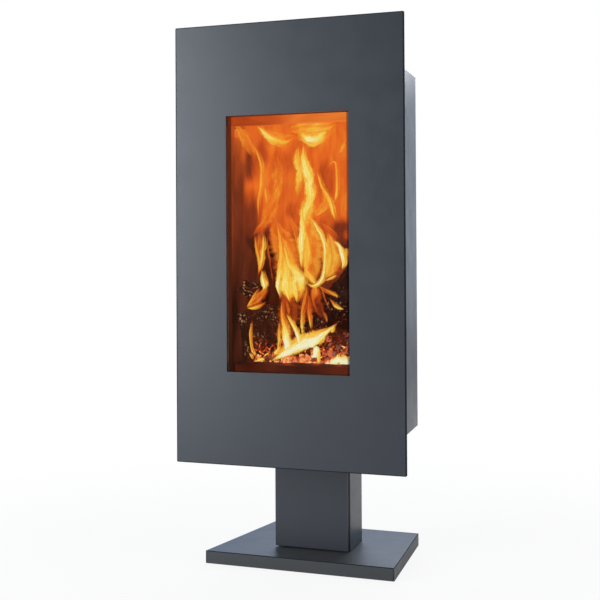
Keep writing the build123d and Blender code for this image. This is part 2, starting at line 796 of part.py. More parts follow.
# ---- fuel ----
def log(length, width, height, sides=10):
    """A log along its own X with flat sides above and below, centred on the origin."""
    spoke = 1 / cos(radians(180 / sides))
    corners = [radians(360 * (i + 0.5) / sides) for i in range(sides)]
    outline = [(height / 2 * spoke * cos(a), width / 2 * spoke * sin(a)) for a in corners]
    prism = extrude(make_face(Polyline(*outline, close=True)), length / 2, both=True)
    return Rot(0, 90, 0) * prism


def make_fuel():
    near = body_front + 40
    far = cavity_back - 26
    bed = tapered(near - 8, cavity_back - 6, lining_bottom, ember_top, cavity_inset + 8)
    save("ember_bed", fillet(bed.edges().group_by(Axis.Z)[-1], 9))

    left_x = -(half_width(far, cavity_inset) - 5.6 - left_log_width / 2)
    left = Rot(0, 0, 90) * log(far - near, left_log_width, left_log_height)
    save("log_left", Pos(left_x, (near + far) / 2, ember_top + left_log_height / 2) * left)

    start = left_x + left_log_width / 2 + 5
    crossed_near = near + 12
    crossed_width = (far - crossed_near - crossed_log_gap) / 2
    crossed_z = ember_top + crossed_log_height / 2
    front = log(front_log_length, crossed_width, crossed_log_height)
    front_x = start + front_log_length / 2
    save("log_front", Pos(front_x, crossed_near + crossed_width / 2, crossed_z) * front)
    back = log(back_log_length, crossed_width, crossed_log_height)
    back_x = start + 2 + back_log_length / 2
    save("log_back", Pos(back_x, far - crossed_width / 2, crossed_z) * back)

    leaning_x = half_width(200, cavity_inset) - 96.4
    leaning = log(leaning_log_length, leaning_log_width, leaning_log_height)
    leaning = Rot(0, -leaning_log_tilt, leaning_log_turn) * leaning
    leaning = Pos(leaning_x, 160, crossed_log_top + 61) * leaning
    over = block(-body_front_width, body_front_width, 0, body_back, crossed_log_top, lining_top)
    save("log_leaning", leaning & over)


os.makedirs("parts", exist_ok=True)
make_base()
make_column()
make_casing()
make_firebox()
make_linings()
make_ash_pan()
make_door()
make_hinges()
make_latch()
make_air_control()
make_fuel()
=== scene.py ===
import json
import math
import random

import bpy
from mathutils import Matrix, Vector

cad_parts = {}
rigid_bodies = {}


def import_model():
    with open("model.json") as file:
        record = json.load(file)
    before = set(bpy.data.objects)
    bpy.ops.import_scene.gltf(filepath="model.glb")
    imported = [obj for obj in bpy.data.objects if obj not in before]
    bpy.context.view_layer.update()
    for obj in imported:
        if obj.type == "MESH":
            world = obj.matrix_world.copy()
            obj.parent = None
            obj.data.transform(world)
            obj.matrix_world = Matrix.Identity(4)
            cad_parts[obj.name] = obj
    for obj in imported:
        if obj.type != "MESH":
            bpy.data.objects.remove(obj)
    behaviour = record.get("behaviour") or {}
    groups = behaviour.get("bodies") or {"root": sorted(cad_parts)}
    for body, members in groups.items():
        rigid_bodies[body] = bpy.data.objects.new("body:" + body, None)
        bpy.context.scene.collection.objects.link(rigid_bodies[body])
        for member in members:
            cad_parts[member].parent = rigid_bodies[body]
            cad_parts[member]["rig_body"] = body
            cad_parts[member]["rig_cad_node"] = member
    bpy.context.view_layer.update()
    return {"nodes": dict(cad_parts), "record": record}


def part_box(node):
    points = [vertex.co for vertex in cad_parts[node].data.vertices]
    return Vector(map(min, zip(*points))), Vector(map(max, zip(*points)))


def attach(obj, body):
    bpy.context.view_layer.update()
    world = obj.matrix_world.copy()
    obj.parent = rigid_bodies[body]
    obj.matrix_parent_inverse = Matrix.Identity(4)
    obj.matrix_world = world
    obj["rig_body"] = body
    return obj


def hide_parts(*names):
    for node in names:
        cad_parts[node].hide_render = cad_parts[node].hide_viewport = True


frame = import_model()
nodes = frame["nodes"]
bpy.ops.object.select_all(action="DESELECT")
print("stove loaded,", len(nodes), "parts")

# y of the plate's front face, from which every distance behind the plate is counted
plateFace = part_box("front_plate")[0].y


def place(kind, inputs=None, tree=None, **settings):
    # a node joins the tree of its linked inputs, unless it is given one
    inputs = inputs or {}
    if tree is None:
        tree = next(v for v in inputs.values() if isinstance(v, bpy.types.NodeSocket)).id_data
    made = tree.nodes.new("ShaderNode" + kind)
    for key, value in settings.items():
        setattr(made, key, value)
    for key, value in inputs.items():
        if isinstance(value, bpy.types.NodeSocket):
            tree.links.new(value, made.inputs[key])
        else:
            made.inputs[key].default_value = value
    return made


def newMaterial(name):
    material = bpy.data.materials.new(name)
    material.use_nodes = True
    shader = next(n for n in material.node_tree.nodes if n.type == "BSDF_PRINCIPLED")
    return material, shader, place("TexCoord", tree=material.node_tree).outputs["Object"]


def attribute(material, name, output="Fac"):
    return place("Attribute", tree=material.node_tree, attribute_name=name).outputs[output]


def axes(vector):
    return place("SeparateXYZ", {0: vector}).outputs


def stretched(vector, scale, turn=(0, 0, 0)):
    return place("Mapping", {"Vector": vector, "Scale": scale, "Rotation": turn}).outputs[0]


def calc(operation, first, second=0.0, clamp=False):
    return place("Math", {0: first, 1: second}, operation=operation, use_clamp=clamp).outputs[0]


def add(first, second, clamp=False):
    return calc("ADD", first, second, clamp)


def times(first, second, clamp=False):
    return calc("MULTIPLY", first, second, clamp)


def vectorCalc(operation, first, second=(0, 0, 0), output="Vector"):
    return place("VectorMath", {0: first, 1: second}, operation=operation).outputs[output]


def apart(vector, centre, scale):
    # how far off the centre a point is, with each axis counted at its own scale
    off = vectorCalc("MULTIPLY", vectorCalc("SUBTRACT", vector, centre), scale)
    return vectorCalc("LENGTH", off, output="Value")


def spread(value, low, high, toLow=0.0, toHigh=1.0, **settings):
    inputs = {"Value": value, "From Min": low, "From Max": high, "To Min": toLow, "To Max": toHigh}
    return place("MapRange", inputs, **settings).outputs[0]


def fade(*limits):
    return spread(*limits, interpolation_type="SMOOTHSTEP")


def swing(value, low, high):
    # nearly all of a noise lies between 0.3 and 0.7
    return spread(value, 0.3, 0.7, low, high)


def noise(vector, scale, detail, roughness=0.5, distortion=0.0):
    inputs = {"Vector": vector, "Scale": scale, "Detail": detail, "Roughness": roughness,
              "Distortion": distortion}
    return place("TexNoise", inputs).outputs[0]


def cells(vector, scale, feature="F1"):
    return place("TexVoronoi", {"Vector": vector, "Scale": scale}, feature=feature).outputs["Distance"]


def ramp(factor, stops):
    # each stop is a place on the ramp, then red, green and blue
    made = place("ValToRGB", {0: factor})
    band = made.color_ramp.elements
    band[0].position, band[1].position = stops[0][0], stops[-1][0]
    band[0].color, band[1].color = (*stops[0][1:], 1.0), (*stops[-1][1:], 1.0)
    for position, *colour in stops[1:-1]:
        band.new(position).color = (*colour, 1.0)
    return made.outputs[0]


def mixed(factor, first, second, mode="MIX"):
    first, second = ((*c, 1.0) if isinstance(c, tuple) else c for c in (first, second))
    return place("Mix", {0: factor, 6: first, 7: second}, data_type="RGBA", blend_type=mode).outputs[2]


def link(value, shader, name):
    shader.id_data.links.new(value, shader.inputs[name])


def coat(shader, colour, roughness):
    link(colour, shader, "Base Color")
    link(roughness, shader, "Roughness")


def lightUp(shader, colour, gloss):
    link(colour, shader, "Emission Color")
    shader.inputs["Emission Strength"].default_value = 1.0
    shader.inputs["Specular IOR Level"].default_value = gloss


def burn(shader, colour, alpha):
    lightUp(shader, colour, 0.0)
    shader.inputs["Base Color"].default_value = (0.0, 0.0, 0.0, 1.0)
    link(alpha, shader, "Alpha")


def bump(shader, height, strength, distance):
    made = place("Bump", {"Height": height, "Strength": strength, "Distance": distance})
    link(made.outputs[0], shader, "Normal")


def mixSurface(material, share, first, second):
    both = place("MixShader", {0: share, 1: first.outputs[0], 2: second.outputs[0]})
    link(both.outputs[0], material.node_tree.nodes["Material Output"], "Surface")


# the last colour of a paint is the painted shade along its edges
paintLook = {
    "colour": (0.028, 0.031, 0.040), "lighter": (0.034, 0.037, 0.046),
    "gloss": (0.32, 0.39), "grain": 1500, "grainDepth": 0.00005, "edgeShade": (0.003, 0.004, 0.006),
}
# painted light: a lighter, less blue copy of the anthracite paint, so that the base shows brighter
lighterBasePaintLook = {**paintLook, "colour": (0.040, 0.041, 0.043), "lighter": (0.047, 0.048, 0.050),
                 "gloss": (0.40, 0.46)}


def paintMaterial(name, look, edgeShadeMask=None):
    material, shader, where = newMaterial(name)
    cloudy = noise(where, 5.0, 3)
    colour = mixed(cloudy, look["colour"], look["lighter"])
    smudge = noise(where, 16.0, 4, 0.6)
    gloss = swing(smudge, *look["gloss"])
    # painted shade: a dark line along the given edges, where the paint also turns matt
    if edgeShadeMask:
        edgeShade = edgeShadeMask(where)
        colour = mixed(edgeShade, colour, look["edgeShade"])
        gloss = calc("MAXIMUM", gloss, times(edgeShade, 0.95))
    coat(shader, colour, gloss)
    bump(shader, noise(where, look["grain"], 2), 0.25, look["grainDepth"])
    return material


# how far from its edge the painted shade along an edge starts to show and shows in full
edgeShadeLook = {"plateSide": (0.0032, 0.0018), "plateEnd": (0.0028, 0.0014), "coverSide": (0.0022, 0.0014),
             "coverTop": (0.00002, 0.00012)}


def plateEdgeShade(where):
    # painted shade along the rim of the front plate, a dark line all round
    low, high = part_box("front_plate")
    across, _, up = axes(where)
    side = fade(calc("ABSOLUTE", across), *(high.x - d for d in edgeShadeLook["plateSide"]))
    top = fade(up, *(high.z - d for d in edgeShadeLook["plateEnd"]))
    foot = fade(up, *(low.z + d for d in edgeShadeLook["plateEnd"]))
    return calc("MAXIMUM", calc("MAXIMUM", side, top), foot)


def coverEdgeShade(where):
    # painted shade along the folded edge between the top and the sides of the base cover
    top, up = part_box("base_cover")[1].z, axes(where)[2]
    below, above = (fade(up, *(top - d for d in edgeShadeLook[key])) for key in ("coverSide", "coverTop"))
    return times(below, above)


def heatPaint(name, dark, light):
    material, shader, where = newMaterial(name)
    coat(shader, mixed(noise(where, 22.0, 4, 0.6), dark, light), swing(noise(where, 60.0, 3), 0.55, 0.75))
    bump(shader, noise(where, 900.0, 3), 0.3, 0.00008)
    return material, shader, where


def steelMaterial(name, dark, light, rough, streak):
    material, shader, where = newMaterial(name)
    lines = noise(stretched(where, streak), 30.0, 3)
    coat(shader, mixed(lines, dark, light), spread(lines, 0.25, 0.75, *rough))
    shader.inputs["Metallic"].default_value = 1.0
    bump(shader, lines, 0.2, 0.00006)
    return material


def ironMaterial():
    material, shader, where = newMaterial("castIron")
    sand = noise(where, 420.0, 4, 0.65)
    rust = fade(noise(where, 30.0, 4), 0.55, 0.75)
    base = mixed(sand, (0.030, 0.029, 0.029), (0.085, 0.080, 0.076))
    coat(shader, mixed(times(rust, 0.5), base, (0.13, 0.055, 0.025)), swing(sand, 0.55, 0.8))
    shader.inputs["Metallic"].default_value = 0.5
    bump(shader, sand, 0.5, 0.0005)
    return material


def ropeMaterial():
    material, shader, where = newMaterial("glassRope")
    turned = stretched(where, (1, 1, 1), (0, math.pi / 2, 0))
    first, second = (place("TexWave", {"Vector": way, "Scale": 75.0, "Distortion": 1.0},
                           bands_direction="DIAGONAL").outputs["Fac"] for way in (where, turned))
    braid = calc("MAXIMUM", first, second)
    fibre = noise(where, 700.0, 3)
    base = mixed(braid, (0.10, 0.10, 0.095), (0.30, 0.30, 0.29))
    coat(shader, mixed(times(fibre, 0.5), base, (0.16, 0.15, 0.14)), spread(fibre, 0.2, 0.8, 0.8, 0.95))
    bump(shader, braid, 0.8, 0.0008)
    return material


# how strongly the fire lights a surface round it, from the coals up to the top of the firebox, and by how much
# more close behind the plate
glowStops = [(0.0, 0.018, 0.004, 0.0015), (0.22, 0.110, 0.019, 0.007), (0.42, 0.205, 0.034, 0.010),
             (0.60, 0.42, 0.068, 0.012), (0.80, 0.74, 0.13, 0.019), (1.0, 1.0, 0.24, 0.032)]
frontGlow = {"from": 0.074, "to": 0.060, "more": 0.20}


def fireGlow(where, low, high, lean=None):
    across, back, up = axes(where)
    height = spread(up, low, high, 0.0, 0.80)
    lick = noise(stretched(where, (1.0, 1.0, 0.38)), 13.0, 4, 0.55, 0.6)
    heat = add(height, swing(lick, -0.22, 0.20))
    near = fade(back, plateFace + frontGlow["from"], plateFace + frontGlow["to"], 0.0, frontGlow["more"])
    if lean:
        heat = add(heat, fade(across, *lean))
    return ramp(add(heat, near), glowStops)


def boardMaterial(name, glow, pale=(0.34, 0.27, 0.19), dull=(0.16, 0.125, 0.09)):
    material, shader, where = newMaterial(name)
    flake = cells(where, 260.0)
    fleck = noise(where, 150.0, 4, 0.7)
    soot = fade(noise(where, 9.0, 4, 0.6), 0.35, 0.65)
    base = mixed(fleck, dull, pale)
    coat(shader, mixed(times(soot, 0.8), base, (0.012, 0.008, 0.005)), swing(fleck, 0.82, 0.96))
    bump(shader, flake, 0.5, 0.0007)
    if glow:
        lightUp(shader, fireGlow(where, *glow), 0.04)
    return material


def glowingPaint(name, stops, patch, warmer, axis=0, skin=None):
    material, shader, where = newMaterial(name)
    dust = noise(where, 30.0, 4, 0.6)
    coat(shader, mixed(dust, (0.004, 0.0025, 0.002), (0.009, 0.006, 0.004)), swing(dust, 0.6, 0.82))
    bump(shader, noise(where, 900.0, 3), 0.3, 0.00008)
    lick = noise(stretched(where, patch), 12.0, 3, 0.5, 0.5)
    parts = axes(where)
    heat = add(lick, fade(parts[axis], *warmer))
    if skin:
        # only the face on the fire's side of a wall that leans along its length
        depth = calc("SUBTRACT", parts[0], spread(parts[1], *skin["line"]))
        heat = times(heat, fade(depth, *skin["depth"]))
    lightUp(shader, ramp(heat, stops), 0.05)
    return material


def linerMaterial(look):
    # heat paint that the fire lights on the faces round the window
    material, shader, where = heatPaint("linerGlow", (0.007, 0.005, 0.004), (0.015, 0.011, 0.009))
    across, _, up = axes(where)
    half, bottom, top, edge = look["half"], look["bottom"], look["top"], look["edge"]
    inside = times(fade(calc("ABSOLUTE", across), half + edge, half), fade(up, bottom - edge, bottom))
    inside = times(inside, fade(up, top + edge, top))
    lick = noise(stretched(where, (1, 1, 0.3)), 16.0, 3)
    heat = add(spread(up, 0.44, 1.04, 0.05, 0.95), swing(lick, -0.1, 0.1))
    lightUp(shader, mixed(inside, (0.0, 0.0, 0.0), ramp(heat, look["stops"])), 0.06)
    return material


def glassMaterial(look):
    material, shader, where = newMaterial("ceramicGlass")
    smear = noise(stretched(where, (1, 1, 0.35)), 11.0, 4, 0.6)
    coat(shader, mixed(smear, (0.012, 0.008, 0.006), (0.035, 0.024, 0.016)), swing(smear, 0.04, 0.12))
    bump(shader, smear, 0.05, 0.0003)
    tone = mixed(fade(axes(where)[0], *look["rim"]), look["pane"], look["edge"])
    clear = place("BsdfTransparent", {"Color": tone})
    mixSurface(material, spread(smear, 0.35, 0.75, 0.02, 0.07), clear, shader)
    return material


linerLook = {
    "half": 0.151, "bottom": 0.453, "top": 1.043, "edge": 0.003,
    "stops": [(0.0, 0.016, 0.003, 0.001), (0.25, 0.062, 0.009, 0.002), (0.6, 0.085, 0.015, 0.004),
              (1.0, 0.135, 0.020, 0.005)],
}
# the pane's tint, and the tint of its right edge with the places across the stove where it sets in
glassLook = {"rim": (0.1385, 0.1425), "pane": (0.97, 0.965, 0.955), "edge": (0.56, 0.60, 0.66)}
# paint that glows: its colours by heat, how its pattern is stretched, and where it gets warmer along one axis
# the left wall glows on its inner face alone, which runs from near to far (y, then x) and is this deep
wallLook = {
    "stops": [(0.3, 0.0, 0.0, 0.0), (0.9, 0.22, 0.034, 0.006), (1.0, 0.56, 0.080, 0.014)],
    "patch": (1, 1, 0.5), "warmer": (0.93, 1.0, -0.4, 0.8), "axis": 2,
    "skin": {"line": (-0.139, 0.165, -0.205, -0.1702), "depth": (0.0012, 0.0028)},
}
ductLook = {
    "stops": [(0.25, 0.40, 0.050, 0.008), (0.55, 0.68, 0.105, 0.016), (0.80, 0.88, 0.20, 0.028),
              (1.0, 0.93, 0.28, 0.036)],
    "patch": (0.5, 1, 1.6), "warmer": (-0.15, 0.08, -0.12, 0.34),
}
guardLook = {
    "stops": [(0.30, 0.022, 0.004, 0.0015), (0.55, 0.070, 0.009, 0.003), (0.85, 0.17, 0.024, 0.004)],
    "patch": (0.6, 1, 1), "warmer": (0.02, 0.12, 0.0, 0.16),
}
finish = {
    "dark_paint": paintMaterial("anthracitePaint", paintLook),
    "heat_paint": heatPaint("heatPaint", (0.020, 0.018, 0.017), (0.045, 0.040, 0.037))[0],
    "raw_steel": steelMaterial("rolledSteel", (0.20, 0.20, 0.205), (0.36, 0.36, 0.365), (0.38, 0.55),
                               (1, 12, 1)),
    "zinc_steel": steelMaterial("zincPlate", (0.48, 0.48, 0.49), (0.62, 0.62, 0.62), (0.26, 0.42), (1, 1, 4)),
    "brass": steelMaterial("brassWasher", (0.58, 0.42, 0.18), (0.78, 0.60, 0.30), (0.25, 0.4), (6, 6, 1)),
    "iron": ironMaterial(),
    "fire_board": boardMaterial("fireBoard", None),
    "fire_glass": glassMaterial(glassLook),
    "rope_seal": ropeMaterial(),
}
# darker board colours for the linings that glow with the fire's painted light
darkerBoardColours = {"dull": (0.016, 0.009, 0.005), "pale": (0.050, 0.028, 0.016)}
ownFinish = {
    "lining_left": boardMaterial("leftLiningGlow", (0.57, 1.01), **darkerBoardColours),
    "lining_right": boardMaterial("rightLiningGlow", (0.55, 1.01), **darkerBoardColours),
    "lining_back": boardMaterial("backLiningGlow", (0.50, 1.0, (-0.07, 0.05, 0.10, -0.22)), **darkerBoardColours),
    "baffle_lower": boardMaterial("baffleGlow", (1.0246, 1.0236), **darkerBoardColours),
    "firebox_left_wall": glowingPaint("wallGlow", **wallLook),
    "air_wash_duct": glowingPaint("ductGlow", **ductLook),
    "log_guard": glowingPaint("guardGlow", **guardLook),
    "door_frame": linerMaterial(linerLook),
    "front_plate": paintMaterial("frontPlatePaint", paintLook, plateEdgeShade),
    "base_cover": paintMaterial("lighterBaseCoverPaint", lighterBasePaintLook, coverEdgeShade),
}


def dress(obj, material):
    obj.data.materials.clear()
    obj.data.materials.append(material)


for part in frame["record"]["subparts"]:
    name, slotName = part["node"], part["material_slot"]
    if name in ownFinish:
        dress(nodes[name], ownFinish[name])
    elif slotName in finish:
        dress(nodes[name], finish[slotName])
print("finishes on the stove's own parts")


def pick(obj):
    bpy.ops.object.select_all(action="DESELECT")
    obj.select_set(True)
    bpy.context.view_layer.objects.active = obj


def copied(obj):
    made = obj.copy()
    made.data = obj.data.copy()
    bpy.context.scene.collection.objects.link(made)
    return made


def settle(obj):
    pick(obj)
    bpy.ops.object.transform_apply(location=True, rotation=True, scale=True)


def applied(obj, name, kind, **settings):
    pick(obj)
    modifier = obj.modifiers.new(name, kind)
    for key, value in settings.items():
        setattr(modifier, key, value)
    bpy.ops.object.modifier_apply(modifier=name)


def cloudTexture(name, size, depth):
    texture = bpy.data.textures.new(name, "CLOUDS")
    texture.noise_scale, texture.noise_depth = size, depth
    return texture


def crackTexture(name, size):
    texture = bpy.data.textures.new(name, "VORONOI")
    texture.noise_scale = size
    texture.weight_1, texture.weight_2 = -1.0, 1.0
    texture.noise_intensity = 1.6
    return texture


def joined(name, pieces):
    bpy.ops.object.select_all(action="DESELECT")
    for piece in pieces:
        piece.select_set(True)
    bpy.context.view_layer.objects.active = pieces[0]
    bpy.ops.object.join()
    made = bpy.context.object
    made.name = name
    return made


def smoothed(obj, angle):
    pick(obj)
    bpy.ops.object.shade_smooth_by_angle(angle=math.radians(angle))


def roughened(obj, name, size, depth, strength, middle=0.5, direction="NORMAL"):
    applied(obj, name, "DISPLACE", texture=cloudTexture(name, size, depth), strength=strength, mid_level=middle,
            direction=direction)


def newObject(name, data):
    made = bpy.data.objects.new(name, data)
    bpy.context.scene.collection.objects.link(made)
    return made


def carried(obj, material, slotName, *stoodFor):
    dress(obj, material)
    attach(obj, "stove")
    if stoodFor:
        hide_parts(*stoodFor)


hotStops = [(0.0, 0.0, 0.0, 0.0), (0.30, 0.10, 0.008, 0.002), (0.55, 0.75, 0.07, 0.010),
            (0.80, 1.0, 0.30, 0.04), (1.0, 1.0, 0.78, 0.25)]
charLook = {
    "black": (0.007, 0.004, 0.003), "brown": (0.040, 0.018, 0.010), "ash": (0.36, 0.26, 0.16),
    "litAsh": (0.26, 0.115, 0.052),
    "crackScale": 62, "flecks": 230,
}
# each log: the heights where its glow fades out, how little ash it has, how hot its cracks are, the fire's light
# on it, and where more ash lies (x, z and reach)
logs = {
    "logLeft": {"part": "log_left", "hot": (0.535, 0.462), "ashy": 0.50,
                "burning": 1.9, "warmth": (0.036, 0.008, 0.003),
                "ashAt": [(-0.060, 0.588, 0.014), (-0.057, 0.565, 0.013), (-0.062, 0.540, 0.012),
                          (-0.136, 0.575, 0.014), (-0.137, 0.555, 0.010)]},
    "logFront": {"part": "log_front", "hot": (0.560, 0.470), "ashy": 0.56, "burning": 1.3,
                 "warmth": (0.060, 0.010, 0.003)},
    "logBack": {"part": "log_back", "hot": (0.545, 0.465), "ashy": 0.56, "burning": 1.0,
                "warmth": (0.050, 0.009, 0.003)},
    "logLeaning": {"part": "log_leaning", "hot": (0.590, 0.520), "ashy": 0.545, "burning": 0.6,
                   "warmth": (0.014, 0.002, 0.0006)},
}


def charMaterial(name, look, log):
    material, shader, where = newMaterial(name)
    flecks = log.get("flecks", look["flecks"])
    grain = noise(where, 70.0, 5, 0.7)
    base = mixed(fade(grain, 0.45, 0.75), look["black"], look["brown"])
    spot = fade(cells(where, flecks), 0.52, 0.26)
    gaps = noise(where, flecks * 0.55, 3, 0.6)
    fleck = times(spot, fade(gaps, log["ashy"], log["ashy"] + 0.06))
    patch = fade(noise(where, 26.0, 3, 0.6), 0.46, 0.62)
    for x, z, reach in log.get("ashAt", ()):
        away = apart(where, (x, 0, z), (1, 0, 1))
        patch = calc("MAXIMUM", patch, fade(away, reach, reach * 0.4, 0.0, 1.6))
    ash = times(fleck, patch, clamp=True)
    coat(shader, mixed(ash, base, look["ash"]), swing(grain, 0.70, 0.95))
    shiver = swing(noise(where, 40.0, 3), -0.5, 0.5)
    heat = add(fade(axes(where)[2], *log["hot"]), times(shiver, 0.55))
    crack = fade(cells(where, look["crackScale"], "DISTANCE_TO_EDGE"), 0.22, 0.02)
    fine = fade(noise(where, 160.0, 3), 0.45, 0.7, 0.35, 1.0)
    glow = times(times(heat, crack, clamp=True), fine)
    ember = ramp(times(glow, log["burning"], clamp=True), hotStops)
    lit = mixed(ash, log["warmth"], look["litAsh"])
    lightUp(shader, mixed(1.0, ember, lit, "ADD"), 0.12)
    bump(shader, grain, 0.7, 0.0012)
    return material


charTextures = {"wave": cloudTexture("barkWave", 0.055, 2), "blocks": crackTexture("charBlocks", 0.021),
                "grain": cloudTexture("charGrain", 0.006, 1)}
# voxel size, rounds of smoothing, and how far each texture pushes the surface, with its middle level
logShape = {"voxel": 0.0026, "rounds": 6,
            "push": {"wave": (0.020, 0.62), "blocks": (0.0075, 0.72), "grain": (0.0022, 0.5)}}
barkShape = {"voxel": 0.0018, "rounds": 4, "push": {"wave": (0.008, 0.5), "grain": (0.0026, 0.5)}}


def charred(obj, shape):
    applied(obj, "skin", "REMESH", mode="VOXEL", voxel_size=shape["voxel"])
    applied(obj, "soften", "SMOOTH", factor=0.5, iterations=shape["rounds"])
    for kind, (strength, middle) in shape["push"].items():
        applied(obj, kind, "DISPLACE", texture=charTextures[kind], strength=strength, mid_level=middle)
    smoothed(obj, 60)


def makeLog(name, log):
    made = copied(nodes[log["part"]])
    made.name = name
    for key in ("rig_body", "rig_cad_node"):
        del made[key]
    pick(made)
    bpy.ops.object.mode_set(mode="EDIT")
    bpy.ops.mesh.select_all(action="SELECT")
    bpy.ops.mesh.remove_doubles(threshold=0.00005)
    bpy.ops.object.mode_set(mode="OBJECT")
    made.parent = None
    charred(made, logShape)
    carried(made, charMaterial(name + "Char", charLook, log), "charred_wood", log["part"])


# bark that has come off the left log: middle x, y (mm behind the plate), z, size, turn in degrees
barkPieces = [
    (-150, 114, 634, (36, 26, 10), (6, 38, 10)),
    (-147, 134, 652, (28, 30, 11), (-4, 20, -14)),
    (-153, 112, 522, (13, 22, 124), (2, -4, 6)),
    (-130, 124, 620, (22, 24, 10), (10, 12, 32)),
]
barkLook = {"flecks": 125, "hot": (0.3, 0.2), "ashy": 0.44, "burning": 0.2, "warmth": (0.030, 0.008, 0.003),
            "ashAt": [(-0.148, 0.632, 0.050), (-0.155, 0.572, 0.016)]}


def makeBark(pieces, log):
    made = []
    for x, back, z, size, turn in pieces:
        bpy.ops.mesh.primitive_cube_add(size=1, location=(x / 1000, plateFace + back / 1000, z / 1000),
                                        rotation=[math.radians(a) for a in turn])
        piece = bpy.context.object
        piece.scale = [s / 1000 for s in size]
        made.append(piece)
    bark = joined("barkPieces", made)
    settle(bark)
    charred(bark, barkShape)
    carried(bark, charMaterial("barkChar", charLook, log), "charred_wood")


for logName, log in logs.items():
    makeLog(logName, log)
makeBark(barkPieces, barkLook)
print("logs charred")


# ash laid as a box: how its cloudy pushes are made (size, depth, strength, middle level, direction), its colours,
# and how it glows
bedLook = {
    "size": (0.286, 0.236, 0.0125), "at": (0.0, 0.011, 0.4525), "voxel": 0.0032, "rounds": 0,
    "pushes": {"ashHeaps": (0.030, 3, 0.010, 0.55, "Z"), "ashCrumbs": (0.006, 1, 0.003)},
    "crumb": 130.0, "soot": (0.03, 0.018, 0.012), "ash": (0.20, 0.13, 0.10), "bump": (0.6, 0.0012),
    "stops": hotStops, "gloss": 0.5,
}
bankLook = {
    "size": (0.306, 0.017, 0.0245), "at": (0.0, plateFace + 0.0755, 0.4612), "voxel": 0.0024, "rounds": 4,
    "pushes": {"bankHeaps": (0.025, 2, 0.0045, 0.5, "Z"), "bankCrumbs": (0.005, 1, 0.0016)},
    "crumb": 210.0, "soot": (0.010, 0.005, 0.003), "ash": (0.050, 0.026, 0.017), "bump": (0.5, 0.001),
    "stops": [(0.15, 0.016, 0.003, 0.001), (0.45, 0.060, 0.009, 0.003), (0.60, 0.13, 0.018, 0.004),
              (0.78, 0.40, 0.050, 0.008)],
    "gloss": 0.1,
}
# each heap: left, right, near, far (mm behind the plate), foot, rise, how many, smallest, largest, heat
coalHeaps = [
    (-122, -60, 88, 106, 462, 7, 22, 5, 9, (0.25, 0.75)),
    (-60, 60, 88, 106, 463, 9, 30, 5, 10, (0.35, 0.85)),
    (-44, 34, 88, 94, 468, 14, 12, 11, 17, (0.62, 0.78)),
    (60, 140, 88, 106, 464, 12, 26, 6, 11, (0.80, 1.15)),
    (-118, -52, 88, 98, 462, 26, 22, 5, 9, (0.35, 0.9)),
    (-20, 60, 88, 106, 464, 28, 26, 6, 11, (0.50, 0.90)),
    (44, 142, 90, 108, 464, 52, 50, 7, 13, (0.45, 0.95)),
    (60, 142, 100, 150, 470, 70, 34, 8, 15, (0.28, 0.72)),
    (-140, 140, 112, 318, 460, 12, 60, 7, 14, (0.2, 0.8)),
    (-50, 120, 192, 222, 462, 40, 26, 8, 14, (0.3, 0.8)),
]
# the shape of a coal, how strongly coals gather low in a heap, how much cooler they get per metre up, and the
# range their turns are drawn from
coalLook = {"seed": 41, "squash": (1.0, 0.78, 0.66), "low": 1.8, "cooling": 4.0, "turns": 6.283}
# each kind of coal: how the ball is turned, then the cuts through it, each a direction and a depth
coalCuts = [
    ((0.3, 0.1, 0), [((1, 0.2, 0.4), 0.6), ((-0.5, 1, 0.2), 0.65), ((0.1, -0.4, 1), 0.5)]),
    ((0.9, 0.4, 1), [((0.3, 1, 0.1), 0.55), ((-1, 0.1, 0.5), 0.5), ((0.4, -0.6, -1), 0.6)]),
    ((0.2, 1.1, 2), [((0.8, -0.5, 0.2), 0.5), ((-0.2, 0.2, 1), 0.45), ((-0.8, 0.7, -0.3), 0.6)]),
]


def coalMaterial():
    material, shader, where = newMaterial("glowingCoal")
    heat = attribute(material, "coalHeat")
    skin = noise(where, 120.0, 4, 0.65)
    ash = noise(where, 55.0, 3)
    colour = mixed(fade(ash, 0.40, 0.62), (0.018, 0.008, 0.005), (0.20, 0.11, 0.075))
    coat(shader, colour, swing(skin, 0.75, 0.95))
    warm = add(heat, swing(skin, -0.30, 0.24))
    warm = add(warm, swing(noise(where, 60.0, 2), -0.16, 0.12))
    stops = [(0.0, 0.004, 0.001, 0.001), (0.28, 0.10, 0.012, 0.005), (0.50, 0.48, 0.075, 0.025),
             (0.70, 0.93, 0.21, 0.055), (0.88, 0.98, 0.50, 0.18), (1.0, 1.0, 0.86, 0.56)]
    lightUp(shader, ramp(warm, stops), 0.15)
    bump(shader, skin, 0.6, 0.0012)
    return material


def bedHeat(where, crumb):
    near = fade(axes(where)[1], 0.06, plateFace + 0.095, -0.15, 0.30)
    return add(spread(times(noise(where, 24.0, 3, 0.6), crumb), 0.12, 0.42), near, clamp=True)


def bankHeat(where, _):
    across, _, up = axes(where)
    heat = noise(stretched(where, (1.0, 1.0, 2.0)), 28.0, 3, 0.6)
    heat = add(heat, fade(across, -0.145, -0.105, -0.30, 0.0))
    return add(heat, spread(up, 0.466, 0.476, -0.06, 0.10))


def makeAsh(name, materialName, look, heat, *stoodFor):
    bpy.ops.mesh.primitive_cube_add(size=1, location=look["at"])
    made = bpy.context.object
    made.name = name
    made.scale = look["size"]
    settle(made)
    applied(made, "skin", "REMESH", mode="VOXEL", voxel_size=look["voxel"])
    if look["rounds"]:
        applied(made, "soften", "SMOOTH", factor=0.5, iterations=look["rounds"])
    for kind, push in look["pushes"].items():
        roughened(made, kind, *push)
    smoothed(made, 50)
    material, shader, where = newMaterial(materialName)
    crumb = noise(where, look["crumb"], 4, 0.65)
    coat(shader, mixed(crumb, look["soot"], look["ash"]), swing(crumb, 0.85, 0.97))
    lightUp(shader, ramp(heat(where, crumb), look["stops"]), look["gloss"])
    bump(shader, crumb, *look["bump"])
    carried(made, material, "embers", *stoodFor)


